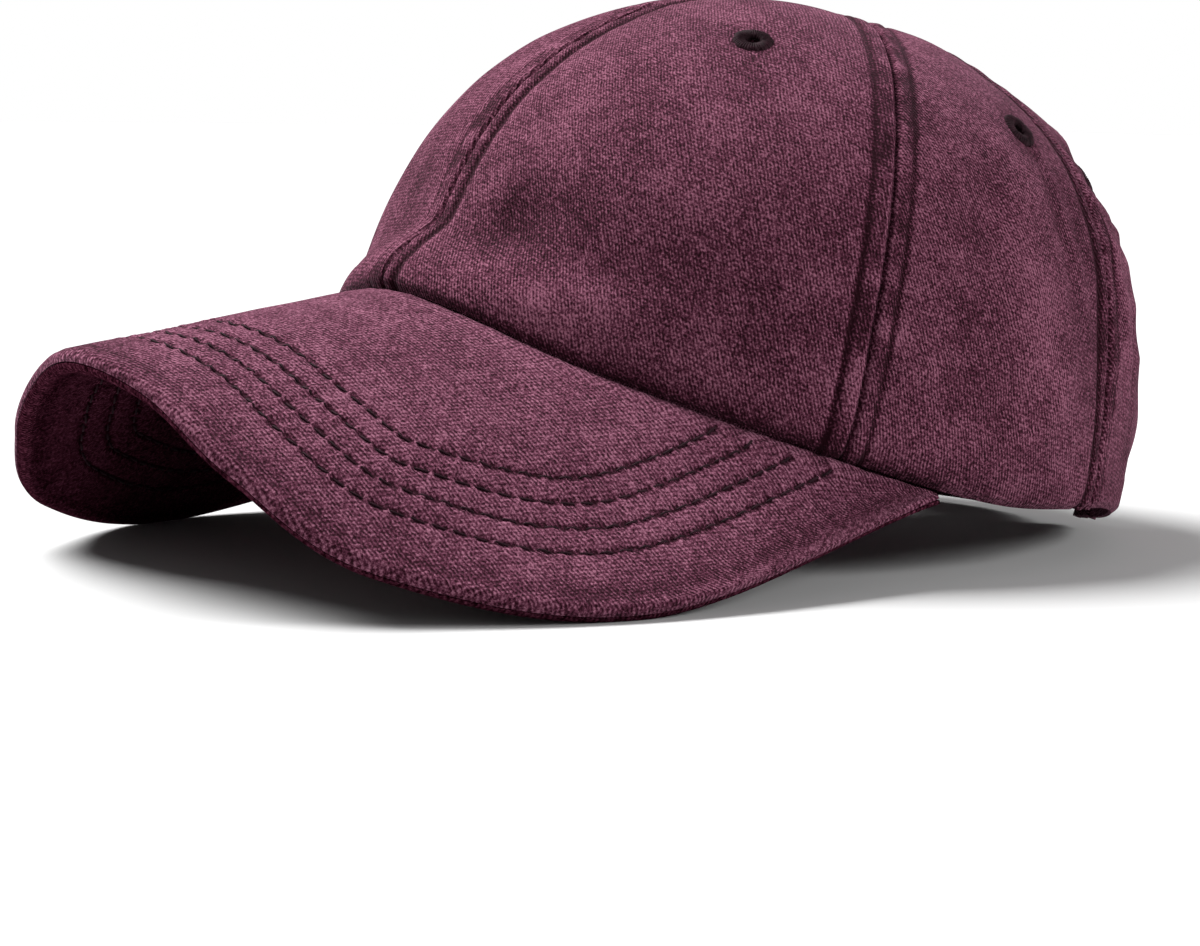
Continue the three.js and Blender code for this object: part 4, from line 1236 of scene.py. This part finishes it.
def facing_stitches(across, height, from_outer):
    places = []
    for column in range(across.shape[1]):
        line = from_outer[::-1, column]
        if line[-1] >= FACING_STITCH + 0.5:
            places.append([np.interp(FACING_STITCH, line, side[::-1, column]) for side in (across, height)])
    return back_stitches(*np.array(places).T, FACING_STITCH_DEPTH)


stitch_piece("facing_stitches", [
    facing_piece("gathered_arch_facing", "arch_facing", arch_outer, arch_inner, arch_shape,
                 columns=400, rows=26),
    facing_piece("gathered_keyhole_facing", "keyhole_facing", keyhole_outer, keyhole_inner, keyhole_shape,
                 columns=230, rows=30),
])


# Strap, its free end and the buckle's tab

def strap_value(across, column):
    rows = np.array(STRAP_ROWS)[::-1]
    share = np.asarray(across)[..., None] / ARCH_HALF + np.linspace(-0.09, 0.09, 9)
    return np.interp(share, rows[:, 0], rows[:, column]).mean(-1)


def strap_line(across, end):
    return STRAP_WIDTH * (strap_value(across, 1) + end * strap_value(across, 2) / 2)


def strap_piece(name, node, start, end, depth, lift, seed):
    columns, rows = max(12, int(abs(end - start) / 0.55)), 34
    u, v = np.meshgrid(np.linspace(0, 1, columns + 1), np.linspace(0, 1, rows + 1))
    v = lerp(v, 0.5 - 0.5 * np.cos(np.pi * v), 0.7)
    across = lerp(start, end, u)
    height = lerp(strap_line(across, -1), strap_line(across, 1), v) + lift
    low, high = v * STRAP_WIDTH, (1 - v) * STRAP_WIDTH
    edge = np.minimum(low, high)
    inside = smoothstep(1, 5, edge)
    buckled = 0.32 * ripple(across, 9.5, seed) + 0.16 * ripple(across + 0.4 * height, 5.1, seed + 2)
    spots = 0.2 * noise(np.stack([across, height, 0 * across], -1), 4, seed)
    # Painted shade and highlight following the strap's buckling, random spots, painted highlight on the
    # rolled edges and painted shade in the stitched grooves
    details = [
        (buckled * inside, 0.3 * ripple(across, 9.5, seed) * inside + spots),
        lines(high, STRAP_SEWN_LINES), lines(low, STRAP_SEWN_LINES), lines(edge, STRAP_EDGE_LINES),
    ]
    front = back_face(across, height, depth - sum(relief for relief, tone in details))
    back = back_face(across, height, np.full(across.shape, depth + STRAP_WALL))
    grain = np.stack([across, height], -1) + STRAP_GRAIN + [90 * seed, 0]
    sheet_piece(name, node, front, back, grid_triangles(columns, rows), plum_facing,
                grain, sum(tone for relief, tone in details))
    runs = []
    for share in (STRAP_STITCH / STRAP_WIDTH, 1 - STRAP_STITCH / STRAP_WIDTH):
        xs = np.linspace(start, end, 160)
        zs = lerp(strap_line(xs, -1), strap_line(xs, 1), share) + lift
        runs.append(back_stitches(xs, zs, depth + STRAP_STITCH_DEPTH))
    return runs


STRAP_STOP = BUCKLE_RIGHT - CLAMP_WIDTH / 2
STRAP_END_DEPTH = STRAP_DEPTH + STRAP_WALL + PIECE_GAP
stitch_piece("strap_stitches", [
    *strap_piece("fabric_strap", "strap", ARCH_HALF, STRAP_STOP, STRAP_DEPTH, 0, 1),
    *strap_piece("fabric_strap_end", "strap_end", STRAP_STOP + STRAP_END_REACH, STRAP_STOP,
                 STRAP_END_DEPTH, STRAP_END_LIFT, 2),
    *strap_piece("fabric_buckle_tab", "buckle_tab", STRAP_STOP - PIECE_GAP, -ARCH_HALF, STRAP_DEPTH, 0, 3),
])


# Buckle

def buckle_place(across, thickness):
    centre = BUCKLE_RIGHT + BUCKLE_WIDTH / 2
    depth = STRAP_DEPTH - PIECE_GAP - thickness / 2
    place = back_face(np.array(centre), np.array(BUCKLE_MIDDLE), np.array(depth))
    ends = back_face(np.array([centre - 1, centre + 1]), np.full(2, BUCKLE_MIDDLE), np.zeros(2))
    aside = unit(ends[1] - ends[0])
    outward = unit(-np.cross(aside, [0.0, 0.0, 1.0]))
    up = unit(np.cross(outward, aside))
    return place + aside * (across - centre), aside, up, outward


FRAME_SECTIONS = 14
CORNER_STEPS = 12
BAR_STEPS = 90
TOOTH_PITCH = 1.05
CLAMP_EDGE = 0.35


def buckle_frame_piece():
    origin, aside, up, outward = buckle_place(BUCKLE_RIGHT + BUCKLE_WIDTH / 2, BUCKLE_WIRE)
    corner = BUCKLE_CORNER - BUCKLE_WIRE / 2
    reach_x = (BUCKLE_WIDTH - BUCKLE_WIRE) / 2 - corner
    reach_y = (BUCKLE_HEIGHT - BUCKLE_WIRE) / 2 - corner
    path, side = [], []
    for k, (sx, sy) in enumerate(((1, 1), (-1, 1), (-1, -1), (1, -1))):
        for step in range(CORNER_STEPS + 1):
            turn = (k + step / CORNER_STEPS) * math.pi / 2
            side.append([math.cos(turn), math.sin(turn)])
            path.append([sx * reach_x + corner * side[-1][0], sy * reach_y + corner * side[-1][1]])
        if k == 1:
            for step in range(1, BAR_STEPS):
                side.append([-1, 0])
                path.append([-reach_x - corner, reach_y * (1 - 2 * step / BAR_STEPS)])
    path, side = np.array(path), np.array(side)
    turn = np.arange(FRAME_SECTIONS) / FRAME_SECTIONS * 2 * np.pi
    reach = BUCKLE_WIRE / 2 / rounded(np.abs(np.cos(turn)), np.abs(np.sin(turn)), 3)
    toothed = (side[:, 0] < -0.99) & (np.abs(path[:, 1]) < CLAMP_HEIGHT / 2)
    notch = np.where(toothed, 0.2 * np.cos(2 * np.pi * path[:, 1] / TOOTH_PITCH), 0)
    swell = reach * np.cos(turn) + notch[:, None] * (np.cos(turn) > 0.5)
    flat = path[:, None] + side[:, None] * swell[..., None]
    depth = np.broadcast_to(reach * np.sin(turn), flat.shape[:2])
    points = origin + flat[..., :1] * aside + flat[..., 1:] * up + depth[..., None] * outward
    faces = tube_faces(len(path), FRAME_SECTIONS, closed=True)[:, ::-1]
    mesh_piece("buckle_wire_frame", points, faces, brass, ["buckle_frame"])


def buckle_clamp_piece():
    origin, aside, up, outward = buckle_place(BUCKLE_RIGHT - PIECE_GAP - CLAMP_WIDTH / 2, CLAMP_WALL)
    columns, rows = 26, 190
    half_w, half_h = CLAMP_WIDTH / 2, CLAMP_HEIGHT / 2
    x, y = np.meshgrid(np.linspace(-half_w, half_w, columns + 1), np.linspace(-half_h, half_h, rows + 1))
    teeth = 0.5 - 0.5 * np.cos(2 * np.pi * y / TOOTH_PITCH)
    cut = x - 0.4 * smoothstep(0, half_w, x) ** 3 * teeth
    edge = np.minimum(np.minimum(half_w - np.abs(x), half_h - np.abs(y)), CLAMP_EDGE)
    dome = CLAMP_WALL / 2 * np.sqrt(np.clip(1 - (1 - edge / CLAMP_EDGE) ** 2, 0, 1))
    rim = 0.28 * bell(x + half_w - 0.55, 0.3)
    middle = origin + cut[..., None] * aside + y[..., None] * up
    front = middle + (dome + rim)[..., None] * outward
    back = middle - (dome * 0.8 + 0.02)[..., None] * outward
    sheet_piece("buckle_clamp_plate", "buckle_clamp", front, back, grid_triangles(columns, rows), brass,
                np.stack([x, y], -1), 0 * x)


buckle_frame_piece()
buckle_clamp_piece()


# Button

BUTTON_COLUMNS = 96
BUTTON_ROWS = 26
BUTTON_GATHERS = 12


def button_piece():
    turn = np.arange(BUTTON_COLUMNS) / BUTTON_COLUMNS * 2 * np.pi
    bend = np.linspace(0, np.pi / 2, BUTTON_ROWS)
    dome = BUTTON_RADIUS * np.cos(bend) ** 0.6
    dome[-1] = 0.01
    radius = np.concatenate([[0.01, BUTTON_RADIUS * 0.88, BUTTON_RADIUS * 0.97], dome])
    height = np.concatenate([[0.0, 0.0, 0.35], BUTTON_HEIGHT * lerp(0.25, 1, np.sin(bend))])
    gather = 0.12 * np.cos(BUTTON_GATHERS * turn)[None] * smoothstep(2.0, BUTTON_RADIUS, radius)[:, None]
    reach = radius[:, None] + gather * (height[:, None] > 0.2)
    level = height[:, None] + 0 * reach + button_seat()
    points = np.stack([reach * np.cos(turn), TOP_SHIFT + reach * np.sin(turn), level], -1)
    points[..., 2] += 0.12 * noise(points, 3.5, 4)
    columns = np.arange(BUTTON_COLUMNS)
    ends = [columns[::-1], columns + (len(radius) - 1) * BUTTON_COLUMNS]
    faces = [*tube_faces(len(radius), BUTTON_COLUMNS), *ends]
    # Painted shade round the button's foot where it sits on the crown; the dome a touch lighter
    tone = np.repeat(0.1 - 0.5 * (height < 0.8), BUTTON_COLUMNS)
    grain = points[..., :2].reshape(-1, 2) + BUTTON_GRAIN
    mesh_piece("covered_button", points, faces, plum, ["button"], grain, tone)


def button_seat():
    seat = 0
    for turn in np.linspace(-math.pi, math.pi, 16, endpoint=False):
        azimuth = np.array(turn)
        rise = np.arange(float(top_rise(azimuth)), 0.9, -0.005)
        point = crown_face(np.full(len(rise), azimuth), rise, 0)
        near = np.hypot(point[:, 0], point[:, 1] - TOP_SHIFT) < BUTTON_RADIUS + 1
        seat = max(seat, point[near, 2].max())
    return seat + PIECE_GAP


button_piece()


# Floor, lights and camera

KEY_DIRECTION = (-0.7, -0.36, 1.1)
KEY_STRENGTH = 8.3
KEY_ANGLE = math.radians(38)
BACKDROP_SEEN = 1.0
BACKDROP_LIGHT = 0.2
FLOOR_SIZE = 6
FLOOR_GREY = (0.5, 0.5, 0.5, 1)
# The camera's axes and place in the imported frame, as a fit to the photo gave them
CAMERA_RIGHT = (0.62915, 0.777101, 0.016834)
CAMERA_UP = (-0.102925, 0.061823, 0.992766)
CAMERA_AHEAD = (-0.770439, 0.626332, -0.118879)
CAMERA_PLACE = (0.575271, -0.467265, 0.105385)


def add_light(name, kind, direction, energy, place=(0, 0, 0)):
    light = bpy.data.objects.new(name, bpy.data.lights.new(name, kind))
    light.data.energy = energy
    light.location = place
    light.rotation_euler = Vector(direction).to_track_quat("Z", "Y").to_euler()
    bpy.context.scene.collection.objects.link(light)
    return light.data


def area_light(name, place, aim, size, power):
    data = add_light(name, "AREA", np.subtract(place, aim).tolist(), power, place)
    data.shape = "DISK"
    data.size = size


floor_mesh = bpy.data.meshes.new("floor")
floor_corners = [(x * FLOOR_SIZE, y * FLOOR_SIZE, 0) for x, y in ((-1, -1), (1, -1), (1, 1), (-1, 1))]
floor_mesh.from_pydata(floor_corners, [], [(0, 1, 2, 3)])
floor_nodes = Nodes("pale_floor")
floor_mesh.materials.append(floor_nodes.finish(FLOOR_GREY, None, 0.7, Specular_IOR_Level=0.1))
floor = bpy.data.objects.new("floor", floor_mesh)
bpy.context.scene.collection.objects.link(floor)

world = bpy.data.worlds.new("studio")
world.use_nodes = True
backdrop = world.node_tree.nodes["Background"]
backdrop.inputs[0].default_value = (1, 1, 1, 1)
# The backdrop is seen as white and lights the cap softly
seen = world.node_tree.nodes.new("ShaderNodeLightPath").outputs["Is Camera Ray"]
strength = world.node_tree.nodes.new("ShaderNodeMapRange")
strength.inputs["To Min"].default_value = BACKDROP_LIGHT
strength.inputs["To Max"].default_value = BACKDROP_SEEN
world.node_tree.links.new(seen, strength.inputs["Value"])
world.node_tree.links.new(strength.outputs[0], backdrop.inputs[1])
bpy.context.scene.world = world

add_light("key_light", "SUN", KEY_DIRECTION, KEY_STRENGTH).angle = KEY_ANGLE
area_light("side_light", place=(0.95, 0.85, 0.55), aim=(0, 0.05, 0.06), size=0.5, power=15)
area_light("fill_light", place=(1.0, -0.8, 0.6), aim=(0, 0, 0.06), size=1.0, power=0.8)

camera_data = bpy.data.cameras.new("camera")
camera_data.lens = 96.91
camera_data.sensor_width = 36.0
camera_data.clip_start = 0.01
camera = bpy.data.objects.new("camera", camera_data)
bpy.context.scene.collection.objects.link(camera)
camera_frame = np.eye(4)
camera_frame[:3] = np.transpose([CAMERA_RIGHT, CAMERA_UP, np.negative(CAMERA_AHEAD), CAMERA_PLACE])
camera.matrix_world = Matrix(camera_frame.tolist())
bpy.context.scene.camera = camera
bpy.context.scene.view_settings.view_transform = "Standard"
